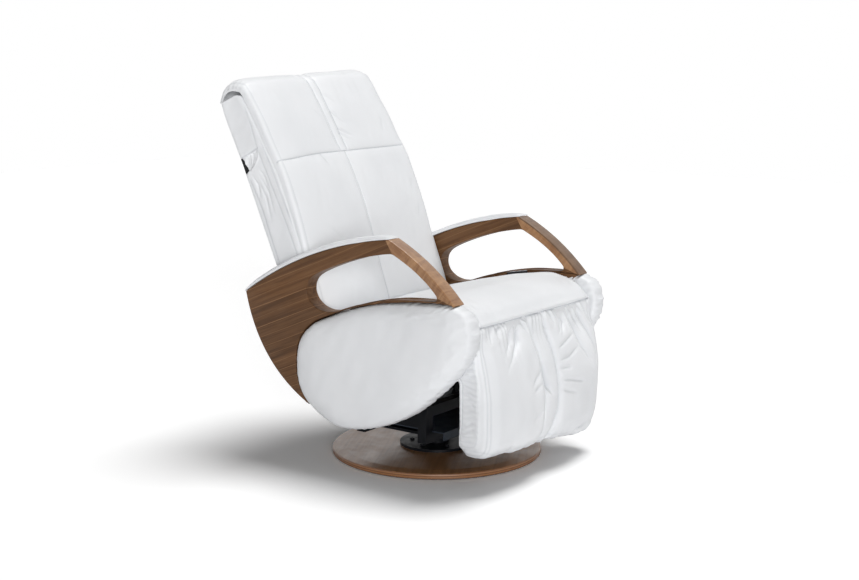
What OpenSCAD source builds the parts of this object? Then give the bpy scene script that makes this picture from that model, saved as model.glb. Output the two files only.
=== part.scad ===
// Reclining massage armchair with a gathered leg rest, on a swivelling round base.
// The chair faces -Y and its right arm is at -X. The origin is on the floor, on the swivel axis.

/* [Overall] */
// Width over the two side pads
chair_w = 770; // [750:5:800]
// Clear width between the inner faces of the arms
arm_gap = 604; // [600:1:610]

/* [Base] */
// Radius of the round base disc
base_r = 312; // [280:1:330]
// Thickness of the base disc
base_t = 18; // [16:1:20]
// Thickness of the felt mat under the disc
mat_t = 3; // [2:0.5:4]
// Radius of the column's flange
flange_r = 110; // [100:1:120]
// Thickness of the column's flange
flange_t = 8; // [6:0.5:10]
// Outer radius of the column
column_r = 38; // [36:1:42]
// Height of the column above its flange
column_h = 46; // [44:1:50]
// Radius of the spindle that turns in the column
spindle_r = 25; // [22:0.5:26]
// Wall of the bush in the column
bush_t = 5; // [4:0.5:6]
// Number of bolts in the flange
flange_bolts = 6; // [4:1:8]
// Shank radius of a flange bolt
flange_bolt_r = 4; // [3:0.5:5]

/* [Chassis] */
// Side of the square swivel plate
plate_w = 260; // [252:1:280]
// Thickness of the swivel plate
plate_t = 8; // [6:0.5:10]
// Side of the square steel tube
tube = 30; // [28:1:32]
// Width over the two rows of posts
chassis_w = 450; // [444:1:456]
// Distance of each row of posts in front of and behind the axis
post_y = 110; // [100:1:115]
// Height of the seat frame's front top edge
seat_z = 395; // [390:1:405]
// Distance of the seat frame's front end in front of the axis
seat_y = 255; // [252:1:260]
// Slope of the seat, lower at the rear
seat_tilt = 9.7; // [9:0.1:10.5]
// Length of the seat frame's side rails
rail_l = 470; // [460:1:476]
// Thickness of the hinge plates
lug_t = 6; // [5:0.5:6.5]
// Radius of the hinge pins
pin_r = 6; // [5:0.5:7]

/* [Arms] */
// Length of an arm frame
arm_l = 745; // [720:5:770]
// Height of an arm frame
arm_h = 498; // [480:2:510]
// Height of the arm frame's lowest point
arm_z = 181; // [176:1:190]
// Distance of the arm's front tip in front of the axis
arm_y = 307; // [300:1:315]
// Thickness of an arm frame
arm_t = 48; // [44:1:52]
// Thickness left behind the side pad
arm_panel_t = 20; // [18:1:22]
// Thickness of the arm's front facing
facing_t = 3; // [2:0.5:4]
// Height of the padded strip on an arm
arm_pad_t = 14; // [11:0.5:18]
// Length of a side pad
side_pad_l = 609; // [590:1:620]
// Height of a side pad
side_pad_h = 388; // [370:1:400]
// Thickness of a side pad's backing board
side_board_t = 12; // [10:0.5:14]

/* [Seat] */
// Thickness of the seat board
seat_board_t = 12; // [10:0.5:14]
// Greatest thickness of the seat cushion
seat_t = 125; // [115:1:132]
// Length of the seat cushion
seat_l = 510; // [500:1:516]
// Width of the seat cushion
seat_w = 588; // [570:1:592]
// Crown across the seat cushion
seat_crown = 9; // [4:0.5:12]

/* [Backrest] */
// Height of the backrest's hinge
back_hinge_z = 392; // [388:1:396]
// Distance of the backrest's hinge behind the axis
back_hinge_y = 185; // [182:1:190]
// Lean of the backrest from the vertical
back_lean = 23.6; // [20:0.2:26]
// Height of the backrest from its hinge to its top, along its lean
back_l = 790; // [770:2:800]
// Width of the backrest
back_w = 582; // [560:1:586]
// Depth of the back body from its hinge line to its rear face
back_d = 103; // [100:1:108]
// Thickness of the overlay pad at its side edges
overlay_t = 12; // [10:0.5:14]
// Crown of the overlay pad's panels
overlay_crown = 20; // [12:1:24]
// Rise of the backrest's top at its middle
back_arch = 18; // [8:1:24]
// Travel of the massage carriage
carriage_travel = 290; // [200:5:300]
// Radius of a massage roller
roller_r = 20; // [16:0.5:22]
// Width of a massage roller
roller_w = 24; // [18:1:28]

/* [Leg rest] */
// Height of the leg rest's hinge
leg_hinge_z = 434; // [432:1:438]
// Distance of the leg rest's hinge in front of the axis
leg_hinge_y = 328; // [322:1:332]
// Length of the leg rest below its hinge
leg_l = 346; // [330:1:352]
// Depth that the leg rest's front stands out past its hinge
leg_d = 72; // [64:1:80]
// Width of the leg rest
leg_w = 590; // [570:1:600]
// Depth of the gathers in the leg rest's cover
gather_d = 6; // [3:0.5:8]

/* [Actuators] */
// Distance of the leg actuator's rod line from the hinge
leg_lever = 60; // [58:0.5:62]
// Distance of the back actuator's rod line from the hinge
back_lever = 70; // [68:0.5:72]
// Radius of an actuator's tube
ram_r = 20; // [18:0.5:21]
// Radius of an actuator's rod
rod_r = 9; // [7:0.5:10]

/* [Hidden] */
$fn = 64;

// Overrun of a cut past the face that it opens
over = 1;
// Radial clearance of a running fit
run_fit = 0.05;
// Gap between a soft piece and its neighbour
soft_gap = 0.4;
// Gap between sliding or turning flat faces
slip = 0.2;
// Clearance beside a lever, lug or rod end
side_gap = 1;

half_gap = arm_gap / 2;
half_chassis = chassis_w / 2;
post_x = half_chassis - tube;

disc_top = mat_t + base_t;
flange_top = disc_top + flange_t;
column_top = flange_top + column_h;
bush_r = spindle_r + run_fit;
thrust_t = 4;
plate_z = column_top + thrust_t + slip;
deck_z = plate_z + plate_t;
tray_z = deck_z + tube;

tread = 0.5;

// Outline helpers

function curve_at(a, b, c, d, t) =
    (2 * b + (c - a) * t + (2 * a - 5 * b + 4 * c - d) * t * t + (3 * b - a - 3 * c + d) * t * t * t) / 2;

// Smooth open curve through the points, with the given steps in each stretch.
function curve(p, steps) = let (last = len(p) - 1) [
    for (i = [0 : last - 1], k = [0 : steps - 1])
        curve_at(p[max(i - 1, 0)], p[i], p[i + 1], p[min(i + 2, last)], k / steps),
    p[last],
];

// Smooth closed curve through the points.
function ring(p, steps) = let (n = len(p)) [
    for (i = [0 : n - 1], k = [0 : steps - 1])
        curve_at(p[(i + n - 1) % n], p[i], p[(i + 1) % n], p[(i + 2) % n], k / steps),
];

// Shallow bow from a to b that rises to the left of the way, without b itself.
function bow(a, b, rise, steps) = let (d = b - a, side = [-d.y, d.x] / norm(d)) [
    for (k = [0 : steps - 1]) let (t = k / steps) a + d * t + side * rise * 4 * t * (1 - t),
];

// Points of shares, as sizes along two lengths from a corner.
function scaled(shares, size, corner) = [for (s = shares) corner + [s.x * size.x, s.y * size.y]];

// Point on a polyline at a share of its count.
function along(p, t) = let (f = t * (len(p) - 1), i = min(floor(f), len(p) - 2)) p[i] + (p[i + 1] - p[i]) * (f - i);

function bump(t) = max(0, 1 - t * t);

// Closed solid between two sheets of points of the same size, stitched along their edges. Seen from outside,
// the front sheet's rows run to the right and its points run up each row.
module between(front, rear) {
    m = len(front);
    n = len(front[0]);
    rear_at = m * n;
    points = [for (sheet = [front, rear], row = sheet, p = row) p];
    faces = [
        for (i = [0 : m - 2], j = [0 : n - 2]) let (a = i * n + j, b = a + n)
            each [[a, b + 1, b], [a, a + 1, b + 1],
                  [rear_at + a, rear_at + b, rear_at + b + 1], [rear_at + a, rear_at + b + 1, rear_at + a + 1]],
        for (i = [0 : m - 2], j = [0, n - 1]) let (a = i * n + j, b = a + n)
            each j == 0
                ? [[a, rear_at + b, rear_at + a], [a, b, rear_at + b]]
                : [[a, rear_at + b, b], [a, rear_at + a, rear_at + b]],
        for (i = [0, m - 1], j = [0 : n - 2]) let (a = i * n + j, b = a + 1)
            each i == 0
                ? [[a, rear_at + b, b], [a, rear_at + a, rear_at + b]]
                : [[a, rear_at + b, rear_at + a], [a, b, rear_at + b]],
    ];
    polyhedron(points = points, faces = faces, convexity = 6);
}

// Layers of like outlines, in the plane of Y and Z at a distance x each, closed by fans.
module layered(layers, xs) {
    n = len(layers[0]);
    m = len(layers);
    mid = [for (r = [layers[0], layers[m - 1]]) [for (k = [0, 1]) [for (p = r) p[k]] * [for (p = r) 1] / n]];
    points = [
        for (i = [0 : m - 1], p = layers[i]) [xs[i], p.x, p.y],
        [xs[0], mid[0].x, mid[0].y],
        [xs[m - 1], mid[1].x, mid[1].y],
    ];
    faces = [
        for (i = [0 : m - 2], j = [0 : n - 1]) let (a = i * n + j, b = i * n + (j + 1) % n)
            each [[a, b + n, a + n], [a, b, b + n]],
        for (j = [0 : n - 1]) [(j + 1) % n, j, m * n],
        for (j = [0 : n - 1]) let (last = (m - 1) * n) [last + j, last + (j + 1) % n, m * n + 1],
    ];
    polyhedron(points = points, faces = faces, convexity = 6);
}

// A plate in the plane of Y and Z, from x to x plus t.
module side_plate(x, t) {
    translate([x, 0, 0]) rotate([90, 0, 90]) linear_extrude(t) children();
}

module both_sides() {
    children();
    mirror([1, 0, 0]) children();
}

// A rod along X from x to x plus length, at a place in the plane of Y and Z.
module rod_x(x, length, at, r) {
    translate([x, at.x, at.y]) rotate([0, 90, 0]) cylinder(r = r, h = length);
}

module block(low, high) {
    translate(low) cube(high - low);
}

// A box with its upright edges rounded.
module soft_block(low, high, r) {
    size = high - low;
    translate([low.x, low.y, low.z]) linear_extrude(size.z) {
        translate([r, 0]) square([size.x - 2 * r, size.y]);
        translate([0, r]) square([size.x, size.y - 2 * r]);
        for (x = [r, size.x - r], y = [r, size.y - r]) translate([x, y]) circle(r);
    }
}

// Base

mat_inset = 6;
disc_edge_r = 5;
disc_fall = 2.5;
disc_bevel = 34;

module base_mat() {
    color("dimgray") cylinder(r = base_r - mat_inset, h = mat_t);
}

module base_disc() {
    arc_steps = 6;
    edge = [for (k = [0 : arc_steps]) let (a = 90 * k / arc_steps)
        [base_r - disc_edge_r + disc_edge_r * cos(a), disc_top - disc_fall - disc_edge_r + disc_edge_r * sin(a)]];
    color("peru") rotate_extrude($fn = 128) polygon([
        [0, mat_t],
        [base_r - tread, mat_t],
        [base_r, mat_t + tread],
        each edge,
        [base_r - disc_bevel, disc_top],
        [0, disc_top],
    ]);
}

bolt_ring_r = (column_r + flange_r) / 2;
bolt_head_t = 5;
bolt_head_share = 1.7;
bolt_socket_share = 0.8;
bolt_fit = 0.3;

module flange_bolt_places() {
    for (k = [0 : flange_bolts - 1])
        rotate([0, 0, 360 * k / flange_bolts]) translate([bolt_ring_r, 0, 0]) children();
}

module base_column() {
    color("black") difference() {
        union() {
            translate([0, 0, disc_top]) cylinder(r = flange_r, h = flange_t);
            translate([0, 0, flange_top]) cylinder(r = column_r, h = column_h);
        }
        translate([0, 0, flange_top]) cylinder(r = bush_r + bush_t, h = column_h + over);
        flange_bolt_places() translate([0, 0, disc_top - over])
            cylinder(r = flange_bolt_r + bolt_fit, h = flange_t + 2 * over);
    }
}

module base_bolts() {
    color("silver") flange_bolt_places() {
        translate([0, 0, disc_top]) cylinder(r = flange_bolt_r, h = flange_t);
        translate([0, 0, flange_top]) difference() {
            cylinder(r = flange_bolt_r * bolt_head_share, h = bolt_head_t);
            translate([0, 0, bolt_head_t / 2])
                cylinder(r = flange_bolt_r * bolt_socket_share, h = bolt_head_t, $fn = 6);
        }
    }
}

module swivel_bush() {
    color("ivory") translate([0, 0, flange_top]) difference() {
        cylinder(r = bush_r + bush_t, h = column_h);
        translate([0, 0, -over]) cylinder(r = bush_r, h = column_h + 2 * over);
    }
}

module thrust_ring() {
    color("goldenrod") translate([0, 0, column_top]) difference() {
        cylinder(r = column_r, h = thrust_t);
        translate([0, 0, -over]) cylinder(r = bush_r + side_gap, h = thrust_t + 2 * over);
    }
}

// Swivel and chassis

module swivel_spindle() {
    foot = flange_top + bush_t;
    color("silver") translate([0, 0, foot]) cylinder(r = spindle_r, h = plate_z - foot);
}

module swivel_plate() {
    half = plate_w / 2;
    color("dimgray") soft_block([-half, -half, plate_z], [half, half, deck_z], tube / 2);
}

// Places in the plane of Y and Z
seat_corner = [-seat_y, seat_z];
back_hinge = [back_hinge_y, back_hinge_z];
leg_hinge = [-leg_hinge_y, leg_hinge_z];

// A point at s along the seat, rearwards, and t above it.
function seat_point(s, t) =
    seat_corner + s * [cos(seat_tilt), -sin(seat_tilt)] + t * [sin(seat_tilt), cos(seat_tilt)];

// A point at v up the backrest and w behind its hinge line.
function back_point(v, w) =
    back_hinge + v * [sin(back_lean), cos(back_lean)] + w * [cos(back_lean), -sin(back_lean)];

module on_seat() {
    translate([0, seat_corner.x, seat_corner.y]) rotate([-seat_tilt, 0, 0]) children();
}

module on_back() {
    translate([0, back_hinge.x, back_hinge.y]) rotate([-back_lean, 0, 0]) children();
}

module tube_across(y, z) {
    block([-post_x - over, y, z], [post_x + over, y + tube, z + tube]);
}

hinge_lug_r = 2.7 * pin_r;
lug_x = half_chassis - lug_t;
low_tube_z = tray_z + 1.5 * tube;
mid_tube_y = 0;
mid_tube_z = 274;
stub_z = 250;
rear_tube_share = 0.67;

module chassis_frame() {
    color("black") difference() {
        union() {
            both_sides() {
                for (y = [-post_y, post_y]) side_plate(post_x, tube) post_outline(y);
                on_seat() block([post_x, 0, -tube], [half_chassis, rail_l, 0]);
                block([post_x, -post_y, mid_tube_z], [half_chassis, post_y, mid_tube_z + tube]);
                arm_stubs();
                side_plate(lug_x, lug_t) front_lug();
                side_plate(lug_x, lug_t) rear_lug();
            }
            for (y = [-post_y, post_y]) tube_across(y - tube / 2, deck_z);
            tube_across(-post_y - tube / 2, low_tube_z);
            tube_across(mid_tube_y, mid_tube_z);
            on_seat() for (s = [0, rail_l * rear_tube_share])
                block([-post_x - over, s, -tube], [post_x + over, s + tube, 0]);
        }
        both_sides() for (at = [leg_hinge, back_hinge])
            rod_x(lug_x - over, lug_t + 2 * over, at, pin_r + run_fit);
        arm_bolt_places()
            rod_x(half_gap - flange_x_t - over, flange_x_t + 2 * over, [0, 0], arm_bolt_r + bolt_fit);
    }
}

module post_outline(y) {
    a = y - tube / 2;
    b = y + tube / 2;
    polygon([[a, deck_z], [b, deck_z], seat_on_rail(b), seat_on_rail(a)]);
}

// The place on the rail's middle line at a distance y behind the axis.
function seat_on_rail(y) = [y, seat_z - (y + seat_y) * tan(seat_tilt) - tube / 2];

// The hull of a disc on a hinge and a strip of a rail end.
module front_lug() {
    hull() {
        translate(leg_hinge) circle(leg_tube_r, $fn = 32);
        polygon([seat_point(0, 0), seat_point(tube / 2, 0), seat_point(tube, -tube), seat_point(0, -tube)]);
    }
}

module rear_lug() {
    hull() {
        translate(back_hinge) circle(hinge_lug_r, $fn = 32);
        polygon([seat_point(rail_l, 0), seat_point(rail_l - 2 * tube, 0), seat_point(rail_l - 2 * tube, -tube),
            seat_point(rail_l, -tube)]);
    }
}

flange_x_t = 8;
flange_x_w = 90;
flange_x_h = 60;
arm_bolt_r = 4;
arm_bolt_inset = 13;

module arm_stubs() {
    face = half_gap - flange_x_t;
    for (y = [-post_y, post_y]) {
        block([half_chassis - over, y - tube / 2, stub_z], [face + over, y + tube / 2, stub_z + tube]);
        block([face, y - flange_x_w / 2, stub_z + (tube - flange_x_h) / 2],
            [half_gap, y + flange_x_w / 2, stub_z + (tube + flange_x_h) / 2]);
    }
}

module arm_bolt_places() {
    both_sides() for (y = [-post_y, post_y], end = [-1, 1])
        translate([0, y + end * (flange_x_w / 2 - arm_bolt_inset), stub_z + tube / 2]) children();
}

module arm_bolts() {
    depth = arm_panel_t * 0.7;
    color("silver") arm_bolt_places() {
        rod_x(half_gap - flange_x_t, flange_x_t + depth, [0, 0], arm_bolt_r);
        difference() {
            rod_x(half_gap - flange_x_t - bolt_head_t, bolt_head_t, [0, 0], arm_bolt_r * bolt_head_share);
            translate([half_gap - flange_x_t - bolt_head_t - over, 0, 0]) rotate([0, 90, 0])
                cylinder(r = arm_bolt_r * bolt_socket_share, h = bolt_head_t / 2 + over, $fn = 6);
        }
    }
}

sheet_t = 3;

module chassis_side_plates() {
    color("#202428") both_sides()
        block([post_x - sheet_t, -post_y - tube / 2, tray_z + sheet_t], [post_x, post_y + tube / 2, low_tube_z]);
}

tray_lip = 40;
tray_drop = 20;

module chassis_tray() {
    front = -post_y - tube / 2 - tray_lip;
    color("gray") {
        block([-post_x, front, tray_z], [post_x, post_y + tube / 2, tray_z + sheet_t]);
        block([-post_x, front, tray_z - tray_drop], [post_x, front + sheet_t, tray_z + sheet_t / 2]);
    }
}

control_w = 240;
control_d = 84;
control_h = 60;
control_y = 14;
control_wall_r = 8;

module control_box() {
    z = tray_z + sheet_t;
    half = control_w / 2;
    rear = control_y + control_d;
    color("#303438") {
        soft_block([-half, control_y, z], [half, rear, z + control_h], control_wall_r);
        for (k = [-3 : 3]) translate([k * control_w / 9, 0, z + control_h])
            block([-control_wall_r / 2, control_y + control_wall_r, -over],
                [control_wall_r / 2, rear - control_wall_r, sheet_t]);
    }
}

inlet_w = 50;
inlet_h = 32;
inlet_d = 24;
inlet_x = 60;
socket_w = 25;
socket_h = 18;
socket_d = 18;
blade_w = 2;
blade_h = 6;

module mains_inlet() {
    y = control_y + control_d;
    z = tray_z + sheet_t + control_h / 2;
    color("#181a1c") translate([inlet_x, y, z]) {
        difference() {
            block([-inlet_w / 2, 0, -inlet_h / 2], [inlet_w / 2, inlet_d, inlet_h / 2]);
            block([-socket_w / 2, inlet_d - socket_d, -socket_h / 2], [socket_w / 2, inlet_d + over, socket_h / 2]);
        }
        for (x = [-socket_w / 4, 0, socket_w / 4]) translate([x, 0, 0])
            block([-blade_w / 2, inlet_d - socket_d - over, -blade_h / 2],
                [blade_w / 2, inlet_d - socket_d / 3, blade_h / 2]);
    }
}

// Arms

arm_corner = [-arm_y, arm_z];
arm_top_share = [0.289, 1];
arm_rear_share = [1, 0.613];
arm_foot_share = [0.683, 0];
arm_tip_share = [0, 0.681];
strut_rise_share = 0.018;
top_rise_share = 0.045;
rear_rise_share = 0.062;

function arm_at(share) = arm_corner + [share.x * arm_l, share.y * arm_h];

arm_steps = 12;
arm_tip = arm_at(arm_tip_share);
arm_top = arm_at(arm_top_share);
arm_rear = arm_at(arm_rear_share);
arm_foot = arm_at(arm_foot_share);

strut_curve = [each bow(arm_tip, arm_top, strut_rise_share * arm_l, arm_steps), arm_top];
top_curve = [each bow(arm_top, arm_rear, top_rise_share * arm_l, arm_steps), arm_rear];

module arm_outline() {
    polygon([
        each strut_curve,
        each top_curve,
        each bow(arm_rear, arm_foot, rear_rise_share * arm_l, arm_steps),
        arm_foot,
    ]);
}

window_low_share = [0.078, 0.716];
window_top_share = [0.279, 0.924];
window_rear_share = [0.692, 0.665];
window_heel_share = [0.568, 0.554];

module window_outline() {
    low = arm_at(window_low_share);
    top = arm_at(window_top_share);
    rear = arm_at(window_rear_share);
    heel = arm_at(window_heel_share);
    rise = arm_l / 100;
    edges = [
        each bow(low, top, rise, arm_steps),
        each bow(top, rear, 3.2 * rise, arm_steps),
        each bow(rear, heel, 2 * rise, arm_steps),
        each bow(heel, low, -2 * rise, arm_steps),
    ];
    polygon(ring([for (k = [0 : 3 : len(edges) - 1]) edges[k]], 3));
}

side_pad_shares = [
    [0.856, 0.771], [0.949, 0.675], [0.995, 0.48], [0.984, 0.289], [0.925, 0.137], [0.803, 0.021],
    [0.683, 0], [0.507, 0.054], [0.337, 0.175], [0.172, 0.379], [0.067, 0.552], [0.013, 0.69],
    [0, 0.832], [0.03, 0.95], [0.1, 0.99], [0.28, 0.99], [0.447, 0.966], [0.647, 0.894],
];
side_pad_out_share = 0.1;
side_pad_top_share = 0.99;
tip_gap = 3.9;
// The side pad hangs just under the arm's tip
side_pad_corner = [-arm_y - side_pad_out_share * side_pad_l, arm_tip.y - tip_gap - side_pad_top_share * side_pad_h];
side_pad_size = [side_pad_l, side_pad_h];
side_pad_mid = side_pad_corner + side_pad_size / 2;

// The side pad's outline, grown by a length.
function side_pad_ring(grow, steps) = [
    for (p = ring(scaled(side_pad_shares, side_pad_size, side_pad_corner), steps))
        p + grow * (p - side_pad_mid) / norm(p - side_pad_mid),
];

groove = 1.5;

module arm() {
    difference() {
        union() {
            side_plate(half_gap, arm_panel_t) difference() {
                union() {
                    arm_outline();
                    polygon(side_pad_ring(0, 3));
                }
                window_outline();
            }
            side_plate(half_gap + arm_panel_t - over, arm_t - arm_panel_t + over) difference() {
                arm_outline();
                polygon(side_pad_ring(groove, 3));
                window_outline();
            }
        }
        facing_cut();
    }
}

// The strip of the strut's front that the facing takes.
module facing_cut() {
    side_plate(half_gap - over, arm_t + 2 * over) facing_outline(over);
}

module facing_outline(out) {
    n = len(strut_curve);
    inner = [for (p = strut_curve) p + facing_side() * -facing_t];
    outer = [for (p = strut_curve) p + facing_side() * out];
    polygon([each outer, for (k = [n - 1 : -1 : 0]) inner[k]]);
}

// The direction that the strut's front faces.
function facing_side() = let (d = arm_top - arm_tip) [-d.y, d.x] / norm(d);

module arm_facing() {
    side_plate(half_gap, arm_t) facing_outline(0);
}

module arm_right() {
    color("sienna") mirror([1, 0, 0]) difference() {
        arm();
        arm_bolt_holes();
    }
}

module arm_left() {
    color("sienna") difference() {
        arm();
        arm_bolt_holes();
        keypad_pocket();
    }
}

module arm_bolt_holes() {
    arm_bolt_places() rod_x(half_gap - over, arm_panel_t * 0.75 + over, [0, 0], arm_bolt_r + bolt_fit);
}

module arm_facing_right() {
    color("tan") mirror([1, 0, 0]) arm_facing();
}

module arm_facing_left() {
    color("tan") arm_facing();
}

arm_pad_over = 2;
arm_pad_gap = 0.9;
arm_pad_rows = 19;
arm_pad_lanes = 7;

module arm_pad() {
    base = curve([for (k = [0 : 2 : arm_steps]) top_curve[k]], 4);
    sheet = function (top) [
        for (i = [0 : arm_pad_lanes - 1]) let (
            u = 2 * i / (arm_pad_lanes - 1) - 1,
            x = half_gap + arm_t / 2 + u * (arm_t / 2 + arm_pad_over),
            round_x = sqrt(max(0, 1 - pow(abs(u), 4)))
        ) [
            for (j = [0 : arm_pad_rows - 1]) let (
                t = j / (arm_pad_rows - 1),
                p = along(base, t),
                q = along(base, min(1, t + over / arm_l)) - along(base, max(0, t - over / arm_l)),
                out = [-q.y, q.x] / norm(q),
                round_t = sqrt(max(0, 1 - pow(abs(2 * t - 1), 16))),
                lift = arm_pad_gap + (top ? arm_pad_t * (0.25 + 0.75 * round_x) * (0.3 + 0.7 * round_t) : 0)
            ) [x, p.x + out.x * lift, p.y + out.y * lift]
        ]
    ];
    between(sheet(true), sheet(false));
}

module arm_pad_right() {
    color("white") mirror([1, 0, 0]) arm_pad();
}

module arm_pad_left() {
    color("white") arm_pad();
}

board_inset = 9;

module side_board_right() {
    color("burlywood") mirror([1, 0, 0]) side_board();
}

module side_board_left() {
    color("burlywood") difference() {
        side_board();
        keypad_pocket();
    }
}

module side_board() {
    side_plate(half_gap + arm_panel_t, side_board_t) polygon(side_pad_ring(-board_inset, 2));
}

// Shares of the side pad's size and thickness, from its back edge to its crown.
side_crown_shares = [
    [0.975, 0], [0.995, 0.1], [1, 0.24], [0.99, 0.5], [0.955, 0.72], [0.86, 0.89], [0.66, 0.975], [0.35, 1],
];

module side_pad() {
    x0 = half_gap + arm_panel_t + side_board_t + soft_gap;
    thick = chair_w / 2 - x0;
    outline = side_pad_ring(0, 2);
    layered(
        [for (s = side_crown_shares) [for (p = outline) side_pad_mid + (p - side_pad_mid) * s.x]],
        [for (s = side_crown_shares) x0 + thick * s.y]
    );
}

module side_pad_right() {
    color("white") mirror([1, 0, 0]) side_pad();
}

module side_pad_left() {
    color("white") side_pad();
}

// Keypad, let into the top of the left arm's lower rail

keypad_w = 26;
keypad_inset = 3;
keypad_l = 78;
keypad_t = 7;
keypad_sink = 5;
keypad_place_share = 0.298;
keypad_y = keypad_place_share * arm_l - arm_y;
keypad_share = 0.653;
keypad_tilt = 9;
keypad_edge_r = 4;
key_w = 16;
key_l = 16;
key_t = 5;
key_travel = 1.2;
key_gap = 0.4;
key_floor = 1.5;

module on_keypad() {
    translate([half_gap + keypad_inset + keypad_w / 2, keypad_y, arm_z + keypad_share * arm_h])
        rotate([-keypad_tilt, 0, 0]) children();
}

module keypad_pocket() {
    on_keypad() block([-keypad_w / 2 - key_gap, -keypad_l / 2 - key_gap, -keypad_sink],
        [keypad_w / 2 + key_gap, keypad_l / 2 + key_gap, keypad_l]);
}

function key_at(k) = k * key_l * 1.35;

module keypad_panel() {
    size = [keypad_w / 2, keypad_l / 2, 0];
    up = [0, 0, keypad_sink];
    color("#202224") on_keypad() difference() {
        soft_block(-size - up, size - up + [0, 0, keypad_t], keypad_edge_r);
        for (k = [-1, 0, 1]) translate([0, key_at(k), 0])
            block([-key_w / 2, -key_l / 2, key_floor - keypad_sink], [key_w / 2, key_l / 2, keypad_t]);
    }
}

// A key floats over the floor of its pocket by its travel and a gap.
module key(k) {
    color("silver") on_keypad() translate([0, key_at(k), key_floor - keypad_sink + key_travel + key_gap])
        soft_block([key_gap - key_w / 2, key_gap - key_l / 2, 0], [key_w / 2 - key_gap, key_l / 2 - key_gap, key_t],
            keypad_edge_r / 2);
}

module key_recline() { key(-1); }
module key_leg_rest() { key(0); }
module key_massage() { key(1); }

// Seat

seat_board_l = 412;

module seat_board() {
    half_w = lug_x - side_gap;
    color("burlywood") on_seat() block([-half_w, 0, 0], [half_w, seat_board_l, seat_board_t]);
}

// Shares of the seat's length and thickness, from the front lip to the rear.
seat_top_shares = [
    [0.004, 0.255], [-0.004, 0.3], [0.008, 0.4], [0.02, 0.52], [0.042, 0.63], [0.085, 0.755], [0.146, 0.866],
    [0.212, 0.94], [0.316, 0.98], [0.458, 1], [0.604, 0.982], [0.83, 0.946], [0.975, 0.93], [1, 0.895],
];
seat_low_shares = [
    [0.02, 0.264], [0.05, 0.28], [0.1, 0.3], [0.15, 0.315], [0.185, 0.3], [0.195, 0.15], [0.2, 0], [0.32, 0],
    [0.5, 0], [0.7, 0],
];
seat_rise_share = 0.905;
seat_lanes = 19;
seat_rows = 16;

module seat_cushion() {
    low = seat_board_t + soft_gap;
    front_s = -0.194 * seat_l;
    scaled_by = function (shares) [for (s = shares) [front_s + seat_l * s.x, seat_t * s.y]];
    rise_s = min(rail_l - 3.6 * tube, front_s + seat_rise_share * seat_l);
    tops = curve(scaled_by(seat_top_shares), 3);
    // The underside rises in front of the backrest's hinge
    lows = [
        each scaled_by(seat_low_shares),
        [rise_s, 0],
        [rise_s + tube / 6, 0.4 * seat_t],
        [rise_s + 0.75 * tube, 0.83 * seat_t],
        [max(rise_s + 0.76 * tube, front_s + 0.95 * seat_l), 0.83 * seat_t],
    ];
    sheet = function (line, top) [
        for (i = [0 : seat_lanes - 1]) let (
            u = sin(90 * (2 * i / (seat_lanes - 1) - 1)),
            round_x = pow(1 - pow(abs(u), 14), 0.4),
            edge = 0.62 + 0.38 * round_x
        ) [
            for (j = [0 : seat_rows - 1]) let (
                s = along(line, j / (seat_rows - 1)),
                crown = top ? seat_crown * (bump(u) - 0.4) * bump(2 * (s.x - front_s) / seat_l - 1) : 0,
                mid = seat_t / 2,
                t = top ? mid + (s.y - mid) * edge : s.y,
                p = seat_point(s.x, low + t + crown)
            ) [u * seat_w / 2, p.x, p.y]
        ]
    ];
    color("white") between(sheet(tops, true), sheet(lows, false));
}

// Backrest

carriage_v = 232;
carriage_h = 60;
carriage_w = 200;
carriage_t = 12;
bearing_r = 15;
shaft_w = 31;
shaft_r = 6;
ear_x = 62;
ear_t = 6;
roller_arm_x = 34;
roller_arm_t = 8;
roller_reach = 46;
roller_drop = 14;
roller_w_place = shaft_w - roller_drop;

back_tube = 25;
hinge_lug_x = half_chassis + side_gap;
upright_x = hinge_lug_x + lug_t - back_tube;
frame_w = 54;
upright_low = 20;
lower_bar = 62;
rail_w = 66;
rail_r = 8;
rail_x = 84;
screw_r = 7;
journal_r = 5;
cavity_w = 480;
cavity_low = 60;
cavity_high_share = 0.9063;
cavity_high = cavity_high_share * back_l;
bar_drop = 26;
upper_bar = cavity_high - bar_drop;
shell_t = 6;
slot_w = 250;
slot_low = carriage_v - roller_reach - 2 * roller_r;
slot_high = carriage_v + carriage_travel + roller_reach + 2 * roller_r;
front_wall = 22;

module back_frame() {
    color("dimgray") on_back() difference() {
        union() {
            both_sides() {
                block([upright_x, frame_w, upright_low],
                    [hinge_lug_x + lug_t, frame_w + back_tube, cavity_high - side_gap]);
                side_plate(hinge_lug_x, lug_t) hull() {
                    circle(hinge_lug_r, $fn = 32);
                    translate([frame_w, upright_low]) square([back_tube, 2 * back_tube]);
                }
            }
            for (v = [lower_bar, upper_bar])
                block([-upright_x - over, frame_w, v], [upright_x + over, frame_w + back_tube, v + back_tube]);
            lever_plates(back_lever_x) back_lever_outline();
        }
        both_sides() rod_x(hinge_lug_x - over, lug_t + 2 * over, [0, 0], pin_r);
        back_slot();
        translate([0, rail_w, upper_bar - over]) cylinder(r = journal_r + run_fit, h = back_tube / 2);
    }
}

module back_hinge_pins() {
    color("silver") both_sides() hinge_pin(back_hinge, lug_x - side_gap, hinge_lug_x + lug_t);
}

// A pin from x low to x high with a head beyond it.
module hinge_pin(at, low, high) {
    rod_x(low, high - low, at, pin_r);
    rod_x(high, pin_r / 2, at, pin_r * 1.6);
}

module back_shell() {
    half = cavity_w / 2 - side_gap;
    low = cavity_low + side_gap;
    high = cavity_high - side_gap;
    color("#303338") on_back() difference() {
        block([-half, back_d - 2 * shell_t, low], [half, back_d, high]);
        block([shell_t - half, back_d - 2 * shell_t - over, low - over],
            [half - shell_t, back_d - shell_t, high + over]);
    }
}

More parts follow.
